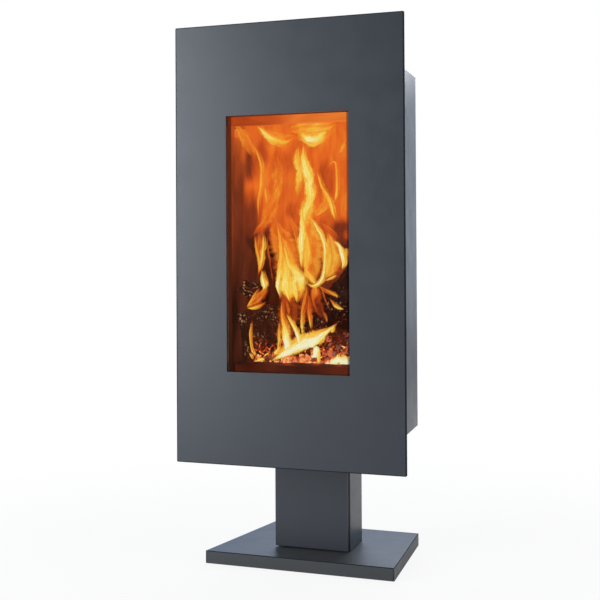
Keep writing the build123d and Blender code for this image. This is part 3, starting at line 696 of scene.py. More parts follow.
def coalShape(turn, cuts, squash):
    bpy.ops.mesh.primitive_ico_sphere_add(subdivisions=2, radius=1.0, rotation=turn)
    coal = bpy.context.object
    settle(coal)
    bpy.ops.object.mode_set(mode="EDIT")
    for direction, depth in cuts:
        normal = Vector(direction).normalized()
        bpy.ops.mesh.select_all(action="SELECT")
        bpy.ops.mesh.bisect(plane_co=normal * depth, plane_no=normal, use_fill=True, clear_outer=True)
    bpy.ops.mesh.select_all(action="SELECT")
    bpy.ops.transform.resize(value=squash)
    bpy.ops.object.mode_set(mode="OBJECT")
    return coal


def makeCoals(heaps, cuts, look):
    chance = random.Random(look["seed"])
    shapes = [coalShape(turn, planes, look["squash"]) for turn, planes in cuts]
    coals = []
    for left, right, near, far, foot, rise, count, small, large, heats in heaps:
        for _ in range(count):
            coal = copied(shapes[chance.randrange(len(shapes))])
            size = chance.uniform(small, large) / 1000
            up = chance.random() ** look["low"] * rise / 1000
            across = chance.uniform(left, right) / 1000
            coal.location = (across, plateFace + chance.uniform(near, far) / 1000, foot / 1000 + up)
            coal.rotation_euler = [chance.uniform(0, look["turns"]) for _ in range(3)]
            coal.scale = (size, size, size)
            heat = chance.uniform(*heats) - up * look["cooling"]
            mark = coal.data.attributes.new("coalHeat", "FLOAT", "POINT")
            mark.data.foreach_set("value", [heat] * len(coal.data.vertices))
            coals.append(coal)
    for shape in shapes:
        bpy.data.objects.remove(shape)
    pile = joined("coals", coals)
    settle(pile)
    smoothed(pile, 25)
    carried(pile, coalMaterial(), "embers")


makeAsh("ashBed", "ashAndEmber", bedLook, bedHeat, "ember_bed")
makeAsh("ashBank", "bankedAsh", bankLook, bankHeat)
makeCoals(coalHeaps, coalCuts, coalLook)
print("embers and ash laid")


flameStops = [(0.0, 0.02, 0.003, 0.001), (0.35, 0.34, 0.035, 0.006), (0.50, 0.80, 0.105, 0.012),
              (0.62, 0.97, 0.22, 0.018), (0.74, 1.0, 0.40, 0.036), (0.85, 1.0, 0.62, 0.070),
              (0.93, 1.0, 0.78, 0.16), (0.98, 1.0, 0.88, 0.34), (1.0, 1.0, 0.96, 0.62)]
curtainStops = [(0.0, 0.012, 0.003, 0.002), (0.20, 0.085, 0.014, 0.006), (0.34, 0.26, 0.040, 0.012),
                (0.46, 0.62, 0.090, 0.014), (0.56, 0.86, 0.15, 0.018), (0.68, 1.0, 0.30, 0.028),
                (0.80, 1.0, 0.48, 0.05)]
# the inside of the firebox: how far behind the plate it begins and ends, its half widths there, and how fast
# the curtain narrows with it
firebox = {"near": 0.056, "far": 0.356, "nearHalf": 0.172, "farHalf": 0.1377, "taper": 0.1145}
# the curtain of burning gas, which also paints the fire's light on the lining behind it: its height and its
# distance behind the plate low down and high up, its foot and top, its billow, where it fades out (share of the
# half width, and height), and its brighter and darker places, partly hotter and cooler gas and partly painted
# light and shade on the lining (middle x and z, half width, half height in mm, how much hotter or cooler)
curtainLook = {
    "low": (0.615, 0.300), "high": (0.775, 0.124), "foot": 0.600, "top": 1.052,
    "cells": (40, 60), "thickness": 0.0012, "billow": (0.09, 1, 0.022, 0.5, "Y"),
    "sideFade": (0.985, 0.86), "footFade": (0.600, 0.700),
    "places": [(-154, 932, 34, 43, -0.22), (-107, 963, 18, 41, -0.12), (56, 900, 18, 41, -0.14),
               (-54, 929, 28, 28, -0.06), (-168, 813, 48, 66, -0.24), (-175, 720, 70, 62, -0.25),
               (-100, 735, 14, 53, -0.30), (-31, 828, 16, 21, -0.10), (87, 790, 28, 24, -0.18),
               (89, 750, 24, 23, -0.14), (-73, 985, 50, 28, 0.04), (24, 1025, 52, 28, 0.06),
               (-134, 895, 40, 23, 0.03), (96, 834, 12, 24, 0.06), (-85, 843, 30, 38, 0.05),
               (34, 831, 24, 28, 0.03), (149, 880, 20, 170, -0.12)],
}
# each flame: how far behind the plate (mm), then x, z, half width (mm) and heat (hundredths) along it
flameLines = {
    "cornerPlume": (87, (-169, 1041, 2.4, 62), (-155, 1020, 9.2, 66), (-139, 993, 15, 68), (-126, 972, 13, 64),
        (-114, 949, 7, 52)),
    "cornerEdge": (84, (-164, 1042, 1.6, 60), (-151, 1025, 2.4, 62), (-134, 1001, 2.8, 62), (-121, 982, 3.2, 66),
        (-111, 961, 3.2, 64), (-110, 947, 1.6, 50)),
    "arcLeft": (94, (-113, 1026, 2, 75), (-99, 1013, 4.8, 90), (-81, 997, 6.8, 93), (-62, 987, 7.2, 88),
        (-42, 982, 6, 82), (-26, 987, 4.8, 72), (-18, 993, 2.4, 60)),
    "arcRight": (94, (-2, 1011, 4.4, 70), (4, 997, 8.4, 88), (14, 988, 11.2, 96), (31, 986, 10.8, 98),
        (49, 996, 10.4, 95), (60, 1003, 6.4, 80), (68, 1010, 2.4, 60)),
    "arcWisp": (100, (-17, 1031, 1.6, 60), (-8, 1022, 4, 75), (1, 1011, 5.2, 78), (16, 1002, 4.4, 70),
        (34, 1000, 2.4, 60)),
    "crownHaze": (102, (-38, 1007, 10, 60), (-4, 1016, 19.9, 74), (31, 1016, 23.9, 80), (63, 1019, 19, 72),
        (88, 1028, 9, 55)),
    "crownGlow": (108, (-17, 992, 12, 70), (5, 999, 19, 80), (31, 1004, 19, 82), (58, 1011, 14, 72)),
    "stemJoin": (104, (2, 854, 8, 70), (6, 838, 15, 84), (9, 820, 17, 86), (9, 804, 14, 82), (7, 786, 8, 70)),
    "arcHaze": (100, (-123, 1026, 6, 55), (-93, 1009, 12, 66), (-57, 993, 15, 68), (-25, 992, 12, 62),
        (-10, 997, 6, 55)),
    "upperPlume": (112, (-71, 962, 8, 50), (-67, 933, 15, 60), (-63, 904, 18, 66), (-67, 876, 18, 66),
        (-72, 860, 12, 60)),
    "centreCore": (104, (-56, 772, 6, 66), (-46, 740, 14, 74), (-43, 710, 18, 80), (-37, 679, 20.9, 86),
        (-35, 653, 21.9, 90), (-35, 651, 19.9, 92), (-35, 633, 14, 88)),
    "wedgeCore": (85, (-63, 481, 2.8, 105), (-41, 493, 6, 114), (-19, 503, 6, 116), (4, 513, 7.2, 116),
        (28, 522, 9.2, 114), (43, 529, 5.2, 110), (55, 539, 2, 100)),
    "crownVeil": (112, (78, 1035, 4.4, 61), (74, 1009, 6.4, 63), (67, 983, 5.6, 59), (63, 965, 2.4, 53)),
    "stemLeft": (98, (-6, 980, 2.8, 62), (-13, 959, 8, 78), (-12, 937, 9.6, 84), (-7, 914, 8, 86),
        (-8, 892, 7.6, 82), (-12, 873, 6.4, 78), (-12, 863, 4.8, 70), (-9, 848, 2, 55)),
    "stemRight": (96, (6, 982, 4.4, 75), (4, 958, 6.8, 88), (5, 938, 8, 93), (13, 914, 10, 95),
        (18, 892, 11.6, 95), (20, 872, 12.4, 94), (22, 856, 12.4, 92), (16, 838, 12, 92), (9, 822, 11, 93),
        (7, 802, 7.2, 85), (9, 790, 2.8, 70)),
    "bodyEdge": (94, (-1, 842, 2.4, 75), (-1, 820, 4.8, 88), (2, 796, 6, 90), (0, 772, 6, 95), (-2, 748, 6, 98),
        (-1, 724, 5.6, 95), (-1, 702, 4, 88), (0, 686, 1.6, 75)),
    "rightBody": (106, (9, 816, 10, 74), (16, 790, 19.9, 74), (20, 764, 25.9, 74), (22, 736, 27.9, 71),
        (20, 706, 26.9, 70), (24, 677, 19, 68), (31, 659, 8, 65)),
    "bodyCore": (100, (8, 780, 3.6, 75), (11, 752, 6.8, 82), (13, 724, 8.8, 85), (10, 696, 8.8, 82),
        (7, 676, 4.8, 75)),
    "rimStrand": (90, (23, 810, 2.4, 85), (34, 792, 4, 95), (47, 772, 3.7, 97), (54, 758, 3.7, 97),
        (59, 735, 3.5, 93), (59, 712, 3.5, 93), (59, 695, 3.9, 95), (55, 676, 4.5, 97), (50, 663, 4.5, 97),
        (39, 653, 3.9, 96), (27, 648, 3.3, 93), (16, 653, 2.5, 86), (7, 663, 1, 75)),
    "rightLobe": (100, (59, 775, 5.1, 70), (67, 758, 10.3, 76), (72, 737, 15.4, 79), (74, 717, 17.5, 80),
        (73, 698, 15.9, 80), (68, 684, 11.3, 78), (60, 672, 6.2, 78), (54, 664, 2.6, 76)),
    "lobeRim": (92, (77, 754, 1.4, 85), (89, 747, 4.1, 97), (97, 733, 4.9, 100), (102, 717, 4.7, 100),
        (103, 703, 3.9, 98), (99, 692, 2.3, 92), (98, 686, 0.8, 80)),
    "lobeFoot": (92, (86, 676, 0.6, 80), (79, 672, 1.2, 88), (70, 667, 1.4, 90), (62, 664, 1, 85),
        (56, 661, 0.5, 80)),
    "lobeBrow": (98, (48, 795, 2.4, 62), (65, 781, 4.4, 60), (80, 769, 3.6, 54), (94, 757, 1.6, 42)),
    "edgeTip": (92, (106, 737, 1, 70), (112, 733, 3.5, 82), (113, 723, 3.7, 80), (113, 715, 1.6, 66)),
    "centrePlume": (110, (-58, 900, 8, 50), (-63, 876, 13.2, 62), (-69, 858, 15, 64), (-79, 838, 15, 60),
        (-89, 818, 17, 63), (-100, 798, 14.4, 62), (-116, 783, 9, 55), (-128, 770, 4.4, 50), (-137, 762, 1.6, 42)),
    "plumeCore": (104, (-60, 892, 3.2, 60), (-63, 872, 6.8, 72), (-65, 860, 7.2, 70), (-69, 844, 5.2, 62),
        (-72, 831, 2.4, 52)),
    "leftFill": (100, (-109, 773, 7.2, 60), (-108, 748, 9.6, 60), (-107, 724, 7.6, 58), (-107, 704, 4.8, 60),
        (-109, 683, 2.8, 55), (-113, 665, 1.2, 40)),
    "leftEdgeA": (96, (-118, 771, 1.6, 60), (-117, 748, 2.6, 72), (-113, 728, 3, 76), (-109, 708, 3, 80),
        (-108, 689, 2.4, 75), (-110, 673, 1.2, 50)),
    "leftEdgeB": (94, (-96, 774, 1.8, 70), (-95, 752, 3, 86), (-98, 732, 3.4, 92), (-101, 712, 3.4, 90),
        (-104, 691, 2.6, 80), (-107, 678, 1.2, 60)),
    "leftFoot": (90, (-99, 687, 1.6, 75), (-98, 671, 4, 90), (-96, 661, 5, 95), (-93, 652, 6, 97),
        (-93, 644, 4, 90), (-99, 638, 1.4, 75)),
    "logLobe": (90, (-85, 647, 2, 66), (-94, 636, 8.4, 64), (-105, 625, 11.6, 62), (-116, 615, 10.4, 62),
        (-128, 605, 6, 68), (-136, 598, 2, 74)),
    "logLobeEdge": (85, (-136, 597, 1, 78), (-127, 597, 2, 90), (-116, 598, 2, 90), (-106, 601, 1.6, 82),
        (-95, 607, 1, 66), (-86, 614, 0.6, 50)),
    "logLobeSide": (85, (-103, 645, 0.8, 60), (-113, 633, 1.4, 72), (-122, 618, 1.6, 78), (-131, 606, 1.6, 84),
        (-136, 598, 1, 80)),
    "thinStrandA": (100, (-89, 771, 1.4, 50), (-87, 746, 2.4, 58), (-85, 720, 2.4, 55), (-81, 695, 2.4, 50),
        (-77, 673, 2.4, 50), (-74, 653, 1.8, 45)),
    "thinStrandB": (98, (-95, 689, 1.6, 50), (-92, 673, 2.6, 60), (-87, 659, 2.6, 55), (-83, 645, 1.6, 40)),
    "centreBody": (110, (-77, 817, 10, 60), (-71, 789, 19, 62), (-61, 762, 27.9, 64), (-49, 736, 32.9, 65),
        (-41, 707, 31.9, 68), (-37, 679, 31.9, 74), (-34, 655, 32.9, 80), (-35, 651, 30.9, 84),
        (-37, 632, 21.9, 84), (-38, 619, 10, 80)),
    "centreLeftEdge": (98, (-65, 807, 2.4, 62), (-58, 780, 3.6, 70), (-55, 754, 3.6, 78), (-54, 728, 4, 82),
        (-56, 700, 4.4, 86), (-59, 675, 5.2, 92), (-62, 653, 5.6, 97), (-64, 655, 5.6, 97), (-60, 635, 4.8, 95),
        (-56, 618, 2, 85)),
    "centreStrand": (96, (-47, 760, 1.8, 65), (-43, 736, 3.6, 82), (-39, 716, 4.4, 86), (-32, 700, 6, 90),
        (-21, 689, 8, 93), (-11, 676, 10.4, 96), (-5, 662, 11.2, 97), (-3, 661, 10.4, 95), (-2, 645, 8.4, 88),
        (-4, 629, 5.6, 75), (-9, 610, 2, 62)),
    "centreStrandB": (98, (-44, 712, 2, 75), (-41, 692, 4.8, 88), (-43, 671, 6.4, 93), (-45, 654, 7.2, 95),
        (-40, 637, 6.8, 93), (-35, 623, 4.8, 88), (-31, 609, 1.6, 75)),
    "centreStrandC": (96, (-25, 696, 2.8, 82), (-16, 680, 6, 92), (-17, 661, 6.8, 95), (-21, 657, 6.8, 92),
        (-18, 639, 7.6, 88), (-14, 623, 6, 84), (-12, 608, 1.6, 70)),
    "centreRight": (108, (-39, 819, 2.8, 61), (-26, 792, 7.2, 63), (-16, 768, 7.2, 63), (-13, 740, 5.6, 61),
        (-14, 716, 4.4, 59)),
    "upperStrand": (100, (-126, 989, 2, 66), (-113, 964, 3.2, 73), (-103, 938, 3.4, 79), (-102, 913, 3, 77),
        (-105, 887, 3.4, 77), (-108, 865, 3.6, 75), (-112, 846, 3.4, 73), (-113, 824, 2.8, 69),
        (-111, 803, 2, 61)),
    "upperStrandB": (102, (-98, 946, 1.8, 61), (-96, 929, 2.4, 66), (-97, 909, 2.2, 61)),
    "upperStrandC": (100, (-95, 886, 2, 61), (-93, 872, 3, 77), (-91, 856, 3.2, 77), (-88, 839, 2, 63)),
    "rightWisp": (96, (36, 920, 1.6, 62), (43, 901, 3.4, 78), (49, 883, 3.6, 80), (55, 869, 3.6, 80),
        (65, 853, 4, 80), (71, 837, 4, 86), (75, 821, 4, 88), (81, 806, 3.2, 78), (87, 794, 1.6, 55)),
    "rightLoop": (98, (62, 921, 1.6, 61), (73, 933, 2.2, 71), (82, 938, 2.4, 75), (86, 920, 2.4, 77),
        (86, 894, 2.6, 77), (87, 872, 2.8, 81), (83, 853, 3.2, 83), (77, 838, 2.2, 66)),
    "rightHaze": (106, (26, 808, 4.4, 66), (39, 822, 10.4, 71), (54, 835, 12.4, 71), (58, 853, 9.6, 69),
        (50, 870, 5.2, 63)),
    "innerWisp": (98, (31, 848, 2, 71), (33, 866, 2.8, 77), (34, 877, 2.8, 75), (35, 893, 1.6, 61)),
    "cornerWisp": (98, (107, 982, 2, 66), (99, 971, 4, 77), (95, 958, 2.8, 73), (93, 950, 1.6, 61)),
    "bowlFill": (98, (7, 694, 4.1, 78), (11, 680, 7.7, 82), (19, 668, 8.2, 85), (28, 658, 5.1, 85),
        (33, 654, 1.6, 80)),
    "loopHaze": (104, (30, 648, 7.2, 74), (29, 637, 10.3, 68), (26, 626, 8.2, 62), (23, 615, 3.1, 52)),
    "hemSheet": (106, (-34, 675, 21.9, 82), (-34, 655, 27.9, 88), (-35, 639, 26.9, 88), (-36, 627, 19, 84),
        (-37, 617, 7.2, 76)),
    "streakA": (94, (-50, 618, 2.2, 66), (-52, 597, 2.8, 70), (-50, 579, 3.4, 76), (-45, 558, 5.4, 86),
        (-41, 538, 7, 96), (-38, 518, 8.4, 106), (-37, 498, 9.2, 112), (-40, 484, 4.8, 110)),
    "streakAB": (98, (-40, 616, 2.8, 58), (-37, 597, 4.4, 62), (-34, 581, 2, 60)),
    "streakLeft": (94, (-55, 570, 1.2, 55), (-56, 550, 3.4, 72), (-57, 532, 4, 82), (-58, 516, 2.8, 86),
        (-60, 504, 1.2, 70)),
    "streakB": (90, (-38, 587, 1.6, 75), (-29, 571, 3, 90), (-19, 554, 3.4, 97), (-10, 535, 3.4, 104),
        (-5, 517, 3.6, 110), (-3, 505, 2.8, 110)),
    "streakC": (96, (12, 651, 2.8, 66), (8, 625, 3.6, 66), (2, 599, 3.2, 70), (-2, 575, 3, 80), (-2, 555, 3.4, 88),
        (0, 537, 2.4, 84), (0, 530, 1, 70)),
    "streakD": (96, (15, 627, 1.6, 55), (17, 599, 2.4, 62), (18, 578, 2.8, 74), (19, 562, 2.4, 84),
        (22, 548, 1.2, 74)),
    "lowerHaze": (106, (25, 651, 12, 60), (29, 629, 16.8, 50), (35, 605, 16.8, 42), (44, 585, 13.2, 40),
        (52, 572, 6, 38)),
    "lowerEdgeA": (98, (20, 645, 1.2, 55), (24, 623, 1.8, 60), (30, 604, 1.8, 55), (38, 588, 1.6, 48),
        (46, 576, 0.8, 40)),
    "lowerStrand": (98, (46, 648, 1.6, 66), (52, 626, 2, 60), (62, 606, 2, 52), (72, 590, 1.2, 42)),
    "tipFlame": (96, (52, 594, 1.6, 42), (58, 584, 3.6, 58), (60, 574, 3.4, 64), (62, 565, 1.4, 50)),
    "curlTop": (94, (40, 651, 2.8, 66), (56, 640, 4.8, 60), (71, 632, 4.8, 62), (85, 625, 2, 68)),
    "curlRim": (88, (54, 645, 0.8, 60), (68, 638, 1.4, 72), (82, 631, 1.6, 80), (89, 626, 1.4, 84),
        (86, 622, 0.8, 70)),
    "curlTip": (88, (69, 623, 1, 55), (78, 611, 2, 72), (85, 603, 2.4, 86), (95, 599, 2.2, 90), (104, 597, 1, 78)),
    "wedge": (88, (-76, 474, 2.4, 92), (-55, 486, 7.6, 98), (-34, 498, 9.6, 103), (-12, 507, 9.6, 103),
        (10, 519, 10.8, 104), (31, 523, 13.6, 105), (46, 532, 8.4, 100), (63, 547, 4.8, 96), (78, 556, 3.8, 92),
        (88, 567, 1.6, 80)),
    "wedgeTipA": (92, (9, 526, 2.8, 95), (12, 536, 2.8, 90), (16, 544, 1.2, 70)),
    "wedgeTipB": (92, (31, 532, 2.8, 95), (28, 542, 2, 85), (27, 550, 1, 70)),
    "wedgeTipC": (90, (74, 543, 1.6, 90), (77, 553, 2.6, 95), (79, 559, 1.4, 85)),
    "wedgeBack": (102, (-79, 480, 4, 75), (-44, 504, 12, 84), (-13, 518, 14, 86), (17, 533, 12.8, 86),
        (47, 544, 8, 80), (68, 556, 3.6, 70)),
    "wedgeFoot": (86, (38, 513, 5.6, 110), (34, 495, 6.4, 112), (30, 481, 4.8, 108), (28, 474, 1.8, 100)),
    "wedgeFootB": (85, (43, 503, 2, 90), (40, 485, 2.8, 97), (43, 471, 2, 90)),
    "bedGlow": (79, (69, 473, 1.8, 95), (80, 477, 6.4, 106), (93, 481, 10.4, 112), (108, 478, 8.8, 110),
        (122, 477, 8.4, 108)),
    "bedSpike": (79, (89, 481, 3.6, 108), (91, 490, 2.4, 100), (93, 497, 0.8, 80)),
    "bedLickA": (86, (-116, 472, 1, 80), (-105, 477, 2.4, 96), (-94, 480, 2, 92), (-87, 478, 0.8, 75)),
    "bedLickB": (86, (-95, 483, 1, 70), (-87, 489, 1.8, 92), (-80, 495, 0.8, 75)),
    "bedLickC": (86, (-120, 477, 0.8, 70), (-127, 485, 1.6, 92), (-130, 493, 0.8, 70)),
    "endStreak": (88, (-124, 569, 0.6, 60), (-129, 549, 1.8, 80), (-131, 533, 1.8, 86), (-129, 515, 1.4, 86),
        (-126, 500, 1.4, 86), (-118, 489, 1.6, 90), (-113, 482, 0.8, 82)),
    "emberFlick": (92, (-63, 518, 2, 70), (-55, 506, 3.6, 85), (-66, 492, 4.8, 92), (-75, 481, 3.2, 92)),
    "lowHaze": (112, (-47, 657, 12, 46), (-43, 626, 23.9, 52), (-39, 586, 27.9, 48), (-39, 545, 23.9, 44),
        (-39, 517, 10, 42)),
    "lowHazeRight": (112, (-3, 651, 10, 44), (5, 611, 18, 47), (7, 570, 19, 48), (13, 538, 10, 42)),
}
# each flame starts as a ball, is pressed thin, fades over this share of its length at both ends, takes its own
# part of the pattern, and sways with the rest
tongueLook = {
    "segments": 14, "rings": 30, "thickness": 0.26, "breadth": 1.22, "endFade": 0.14, "patternStep": 3.7,
    "sway": (0.06, 1, 0.010, 0.5, "Y"),
}
# a flame hotter than this gets a wider, cooler one behind it; widths and distances in mm
haloLook = {
    "from": 0.70, "wider": 0.8, "most": 3.0, "margin": 1.2, "cooler": 0.15, "behind": 6, "patternStep": 1.3,
}


def curtainMaterial(look):
    material, shader, where = newMaterial("fireCurtainAndLiningLight")
    warp = place("TexNoise", {"Vector": stretched(where, (1, 1, 0.5)), "Scale": 16.0, "Detail": 3.0})
    sway = vectorCalc("SUBTRACT", warp.outputs["Color"], (0.5, 0.5, 0.5))
    bent = vectorCalc("ADD", where, vectorCalc("MULTIPLY", sway, (0.055, 0.0, 0.075)))
    across, back, up = axes(where)
    heat = fade(up, 0.60, 0.86, 0.26, 0.55)
    # each place paints a brighter patch or a darker one: partly hotter and cooler gas, partly the fire's painted
    # light and shade on the lining behind
    for x, z, wide, tall, change in look["places"]:
        reach = apart(bent, (x / 1000, 0.0, z / 1000), (1000 / wide, 0.0, 1000 / tall))
        heat = add(heat, fade(reach, 0.35, 1.35, change, 0.0))
    strands = noise(stretched(bent, (1.0, 1.0, 0.20)), 48.0, 4, 0.6)
    heat = add(heat, spread(strands, 0.25, 0.75, -0.085, 0.085))
    half = spread(back, plateFace + firebox["near"], plateFace + firebox["far"],
                  firebox["nearHalf"], firebox["farHalf"])
    side = calc("DIVIDE", calc("ABSOLUTE", across), half)
    alpha = times(fade(side, *look["sideFade"]), fade(up, *look["footFade"]))
    burn(shader, ramp(heat, curtainStops), alpha)
    return material


def makeCurtain(look):
    wide, tall = look["cells"]
    bpy.ops.mesh.primitive_grid_add(x_subdivisions=wide, y_subdivisions=tall, size=1,
                                    rotation=(math.pi / 2, 0, 0))
    curtain = bpy.context.object
    curtain.name = "fireCurtainAndLiningLight"
    settle(curtain)
    lowZ, lowY = look["low"]
    highZ, highY = look["high"]
    for vertex in curtain.data.vertices:
        z = look["foot"] + (vertex.co.z + 0.5) * (look["top"] - look["foot"])
        t = min(1.0, max(0.0, (z - lowZ) / (highZ - lowZ)))
        depth = lowY + (highY - lowY) * t * t * (3 - 2 * t)
        half = firebox["nearHalf"] - firebox["taper"] * (depth - firebox["near"])
        vertex.co = (vertex.co.x * 2 * half, plateFace + depth, z)
    roughened(curtain, "billow", *look["billow"])
    applied(curtain, "body", "SOLIDIFY", thickness=look["thickness"])
    smoothed(curtain, 70)
    carried(curtain, curtainMaterial(look), "embers")


def flameMaterial():
    material, shader, _ = newMaterial("flame")
    heat, ends = attribute(material, "flameHeat"), attribute(material, "flameEnds")
    flow = attribute(material, "flameFlow", "Vector")
    wisps = noise(stretched(flow, (2.1, 13.0, 1.0)), 1.7, 5, 0.62, 0.5)
    wobble = noise(stretched(flow, (0.35, 30.0, 1.0)), 1.3, 3, 0.55)
    frays = noise(stretched(flow, (1.4, 62.0, 1.0)), 1.6, 4, 0.65)
    across = add(axes(flow)[0], spread(wobble, 0.25, 0.75, -0.36, 0.36))
    edge = calc("SUBTRACT", 1.0, calc("ABSOLUTE", across))
    edge = add(edge, swing(frays, -0.26, 0.14))
    cover = fade(edge, 0.0, 0.66)
    warm = add(heat, spread(wisps, 0.25, 0.75, -0.15, 0.11))
    warm = add(warm, spread(cover, 0.0, 1.0, -0.055, 0.01))
    # the cooler flames are brightest along their edges
    hollow = times(fade(edge, 0.34, 0.86), fade(heat, 0.88, 0.70))
    warm = add(warm, times(fade(edge, 0.10, 0.34), fade(heat, 0.88, 0.70, 0.0, 0.07)))
    warm = calc("SUBTRACT", warm, times(hollow, 0.10))
    dense = times(spread(heat, 0.35, 0.92, 0.20, 0.92), swing(wisps, 0.72, 1.15))
    alpha = times(times(cover, ends), dense, clamp=True)
    alpha = times(alpha, spread(hollow, 0.0, 1.0, 1.0, 0.66))
    burn(shader, ramp(warm, flameStops), alpha)
    return material


def heatAlong(points):
    # the share of the flame's length at each point with the heat there, and that length in metres
    steps = [0.0]
    for first, second in zip(points, points[1:]):
        steps.append(steps[-1] + math.dist(first[:2], second[:2]))
    return [(s / steps[-1], p[3]) for s, p in zip(steps, points)], steps[-1] / 1000


def between(marks, t):
    for (t0, h0), (t1, h1) in zip(marks, marks[1:]):
        if t <= t1:
            return h0 + (h1 - h0) * (t - t0) / (t1 - t0)
    return marks[-1][1]


def makeTongue(name, depth, points, turn, look):
    bpy.ops.mesh.primitive_uv_sphere_add(segments=look["segments"], ring_count=look["rings"], radius=1)
    tongue = bpy.context.object
    tongue.name = name
    bpy.ops.object.mode_set(mode="EDIT")
    bpy.ops.mesh.select_all(action="SELECT")
    bpy.ops.transform.resize(value=(1.0, look["thickness"] / look["breadth"], 1.0))
    bpy.ops.object.mode_set(mode="OBJECT")
    marks, length = heatAlong(points)
    heats, flows, covers = [], [], []
    for vertex in tongue.data.vertices:
        t = (vertex.co.z + 1) / 2
        around = math.sqrt(max(0.0, 1 - vertex.co.z ** 2))
        heats.append(between(marks, t))
        flows += [vertex.co.x / max(around, 0.05), t * length, turn]
        covers.append(min(1.0, t / look["endFade"], (1 - t) / look["endFade"]))
    marked = tongue.data.attributes
    marked.new("flameHeat", "FLOAT", "POINT").data.foreach_set("value", heats)
    marked.new("flameFlow", "FLOAT_VECTOR", "POINT").data.foreach_set("vector", flows)
    marked.new("flameEnds", "FLOAT", "POINT").data.foreach_set("value", covers)
    line = bpy.data.curves.new(name + "Line", "CURVE")
    line.dimensions = "2D"
    line.resolution_u = 12
    line.use_stretch = line.use_deform_bounds = line.use_radius = True
    spline = line.splines.new("NURBS")
    spline.points.add(len(points) - 1)
    for point, (x, z, half, _) in zip(spline.points, points):
        point.co = (x / 1000, z / 1000, 0.0, 1.0)
        point.radius = half * look["breadth"] / 1000
    spline.order_u = 3
    spline.use_endpoint_u = True
    guide = newObject(name + "Line", line)
    applied(tongue, "follow", "CURVE", object=guide, deform_axis="POS_Z")
    bpy.data.objects.remove(guide)
    tongue.rotation_euler = (math.pi / 2, 0, 0)
    tongue.location = (0, plateFace + depth / 1000, 0)
    settle(tongue)
    return tongue


def makeFlames(lines, look, halo):
    tongues = []
    for i, (name, (depth, *marks)) in enumerate(lines.items()):
        points = [(x, z, half, heat / 100) for x, z, half, heat in marks]
        turn = i * look["patternStep"]
        tongues.append(makeTongue(name, depth, points, turn, look))
        if max(p[3] for p in points) > halo["from"]:
            wider = [(x, z, half + min(half * halo["wider"], halo["most"]) + halo["margin"],
                      heat - halo["cooler"]) for x, z, half, heat in points]
            turn += halo["patternStep"]
            tongues.append(makeTongue(name + "Halo", depth + halo["behind"], wider, turn, look))
    flames = joined("flames", tongues)
    roughened(flames, "flameSway", *look["sway"])
    smoothed(flames, 80)
    carried(flames, flameMaterial(), "embers")


makeCurtain(curtainLook)
makeFlames(flameLines, tongueLook, haloLook)
print("fire lit")


stageLook = {
    "floorSize": 16.0, "floorHeight": -0.0006, "floorColour": (0.84, 0.84, 0.84),
    "nearWhite": 0.88, "nearReach": 0.45, "farReach": 1.6, "inGloss": 0.12,
    "ambient": (0.36, 0.38, 0.41), "behind": (0.80, 0.90, 1.02), "high": (0.10, 0.32, 0.74),
    "inFront": (0.19, 0.215, 0.26),
}
lamps = {
    "leftBox": {"at": (-2.35, -2.75, 1.15), "wide": 1.2, "tall": 2.2, "power": 98, "colour": (0.86, 0.94, 1.0)},
    "rightBox": {"at": (2.9, -0.3, 2.1), "wide": 1.4, "tall": 1.4, "power": 28, "colour": (1.0, 0.94, 0.86)},
    "backBox": {"at": (-0.4, 2.8, 2.2), "wide": 2.4, "tall": 1.4, "power": 45, "colour": (1.0, 1.0, 1.0)},
}
lampTarget = (0, 0, 0.62)


def seenDirectly(path):
    return calc("MAXIMUM", path["Is Camera Ray"], path["Is Transmission Ray"])


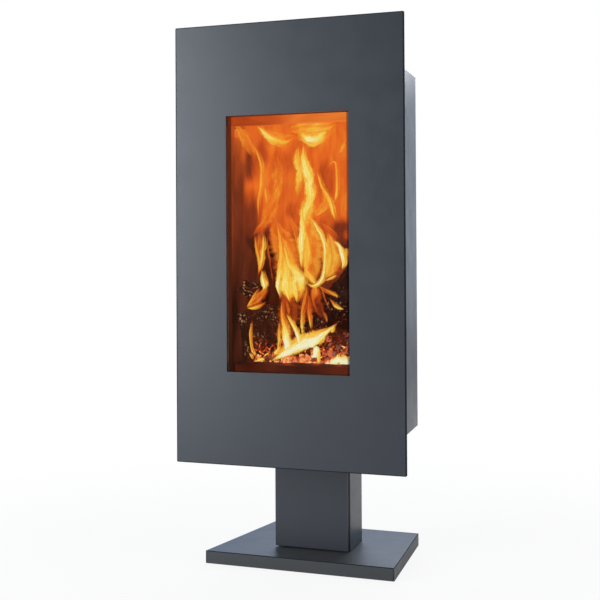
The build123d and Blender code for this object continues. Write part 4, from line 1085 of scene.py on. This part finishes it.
def makeFloor(look):
    bpy.ops.mesh.primitive_grid_add(x_subdivisions=4, y_subdivisions=4, size=look["floorSize"],
                                    location=(0, 0, look["floorHeight"]))
    floor = bpy.context.object
    floor.name = "floor"
    material, shader, where = newMaterial("paleFloor")
    tone = mixed(noise(where, 3.0, 2), look["floorColour"], tuple(c * 1.03 for c in look["floorColour"]))
    link(tone, shader, "Base Color")
    shader.inputs["Roughness"].default_value = 0.9
    white = place("Emission", {"Color": (1, 1, 1, 1), "Strength": 1.0}, material.node_tree)
    path = place("LightPath", tree=material.node_tree).outputs
    seen = calc("MAXIMUM", seenDirectly(path), times(path["Is Glossy Ray"], look["inGloss"]))
    away = vectorCalc("LENGTH", where, output="Value")
    share = times(seen, fade(away, look["nearReach"], look["farReach"], look["nearWhite"], 1.0))
    mixSurface(material, share, shader, white)
    dress(floor, material)


def makeWorld(look):
    world = bpy.data.worlds.new("studio")
    bpy.context.scene.world = world
    world.use_nodes = True
    tree = world.node_tree
    _, ahead, up = axes(place("TexCoord", tree=tree).outputs["Generated"])
    behind = mixed(fade(up, 0.10, 0.26), look["behind"], look["high"])
    shine = mixed(fade(ahead, -0.4, 0.5), look["inFront"], behind)
    path = place("LightPath", tree=tree).outputs
    tone = mixed(path["Is Glossy Ray"], look["ambient"], shine)
    link(mixed(seenDirectly(path), tone, (1.0, 1.0, 1.0)), tree.nodes["Background"], "Color")


def makeLamp(name, lamp):
    data = bpy.data.lights.new(name, "AREA")
    data.shape = "RECTANGLE"
    data.size, data.size_y = lamp["wide"], lamp["tall"]
    data.energy = lamp["power"]
    data.color = lamp["colour"]
    made = newObject(name, data)
    made.location = lamp["at"]
    aim = Vector(lampTarget) - Vector(lamp["at"])
    made.rotation_euler = aim.to_track_quat("-Z", "Y").to_euler()


cameraLook = {
    "at": (1.0138, -2.7135, 0.7449), "turn": (90.717, 0.312, 21.282),
    "lens": 72.72, "sensor": 36, "shift": -0.1173,
}


def makeCamera(look):
    data = bpy.data.cameras.new("camera")
    data.lens = look["lens"]
    data.sensor_width = look["sensor"]
    data.shift_y = look["shift"]
    made = newObject("camera", data)
    made.location = look["at"]
    made.rotation_euler = [math.radians(a) for a in look["turn"]]
    bpy.context.scene.camera = made


makeFloor(stageLook)
makeWorld(stageLook)
for lampName, lamp in lamps.items():
    makeLamp(lampName, lamp)
makeCamera(cameraLook)
scene = bpy.context.scene
scene.view_settings.view_transform = "Standard"
# the flames are many sheets deep
scene.cycles.transparent_max_bounces = 40
print("stage, lamps and camera ready")
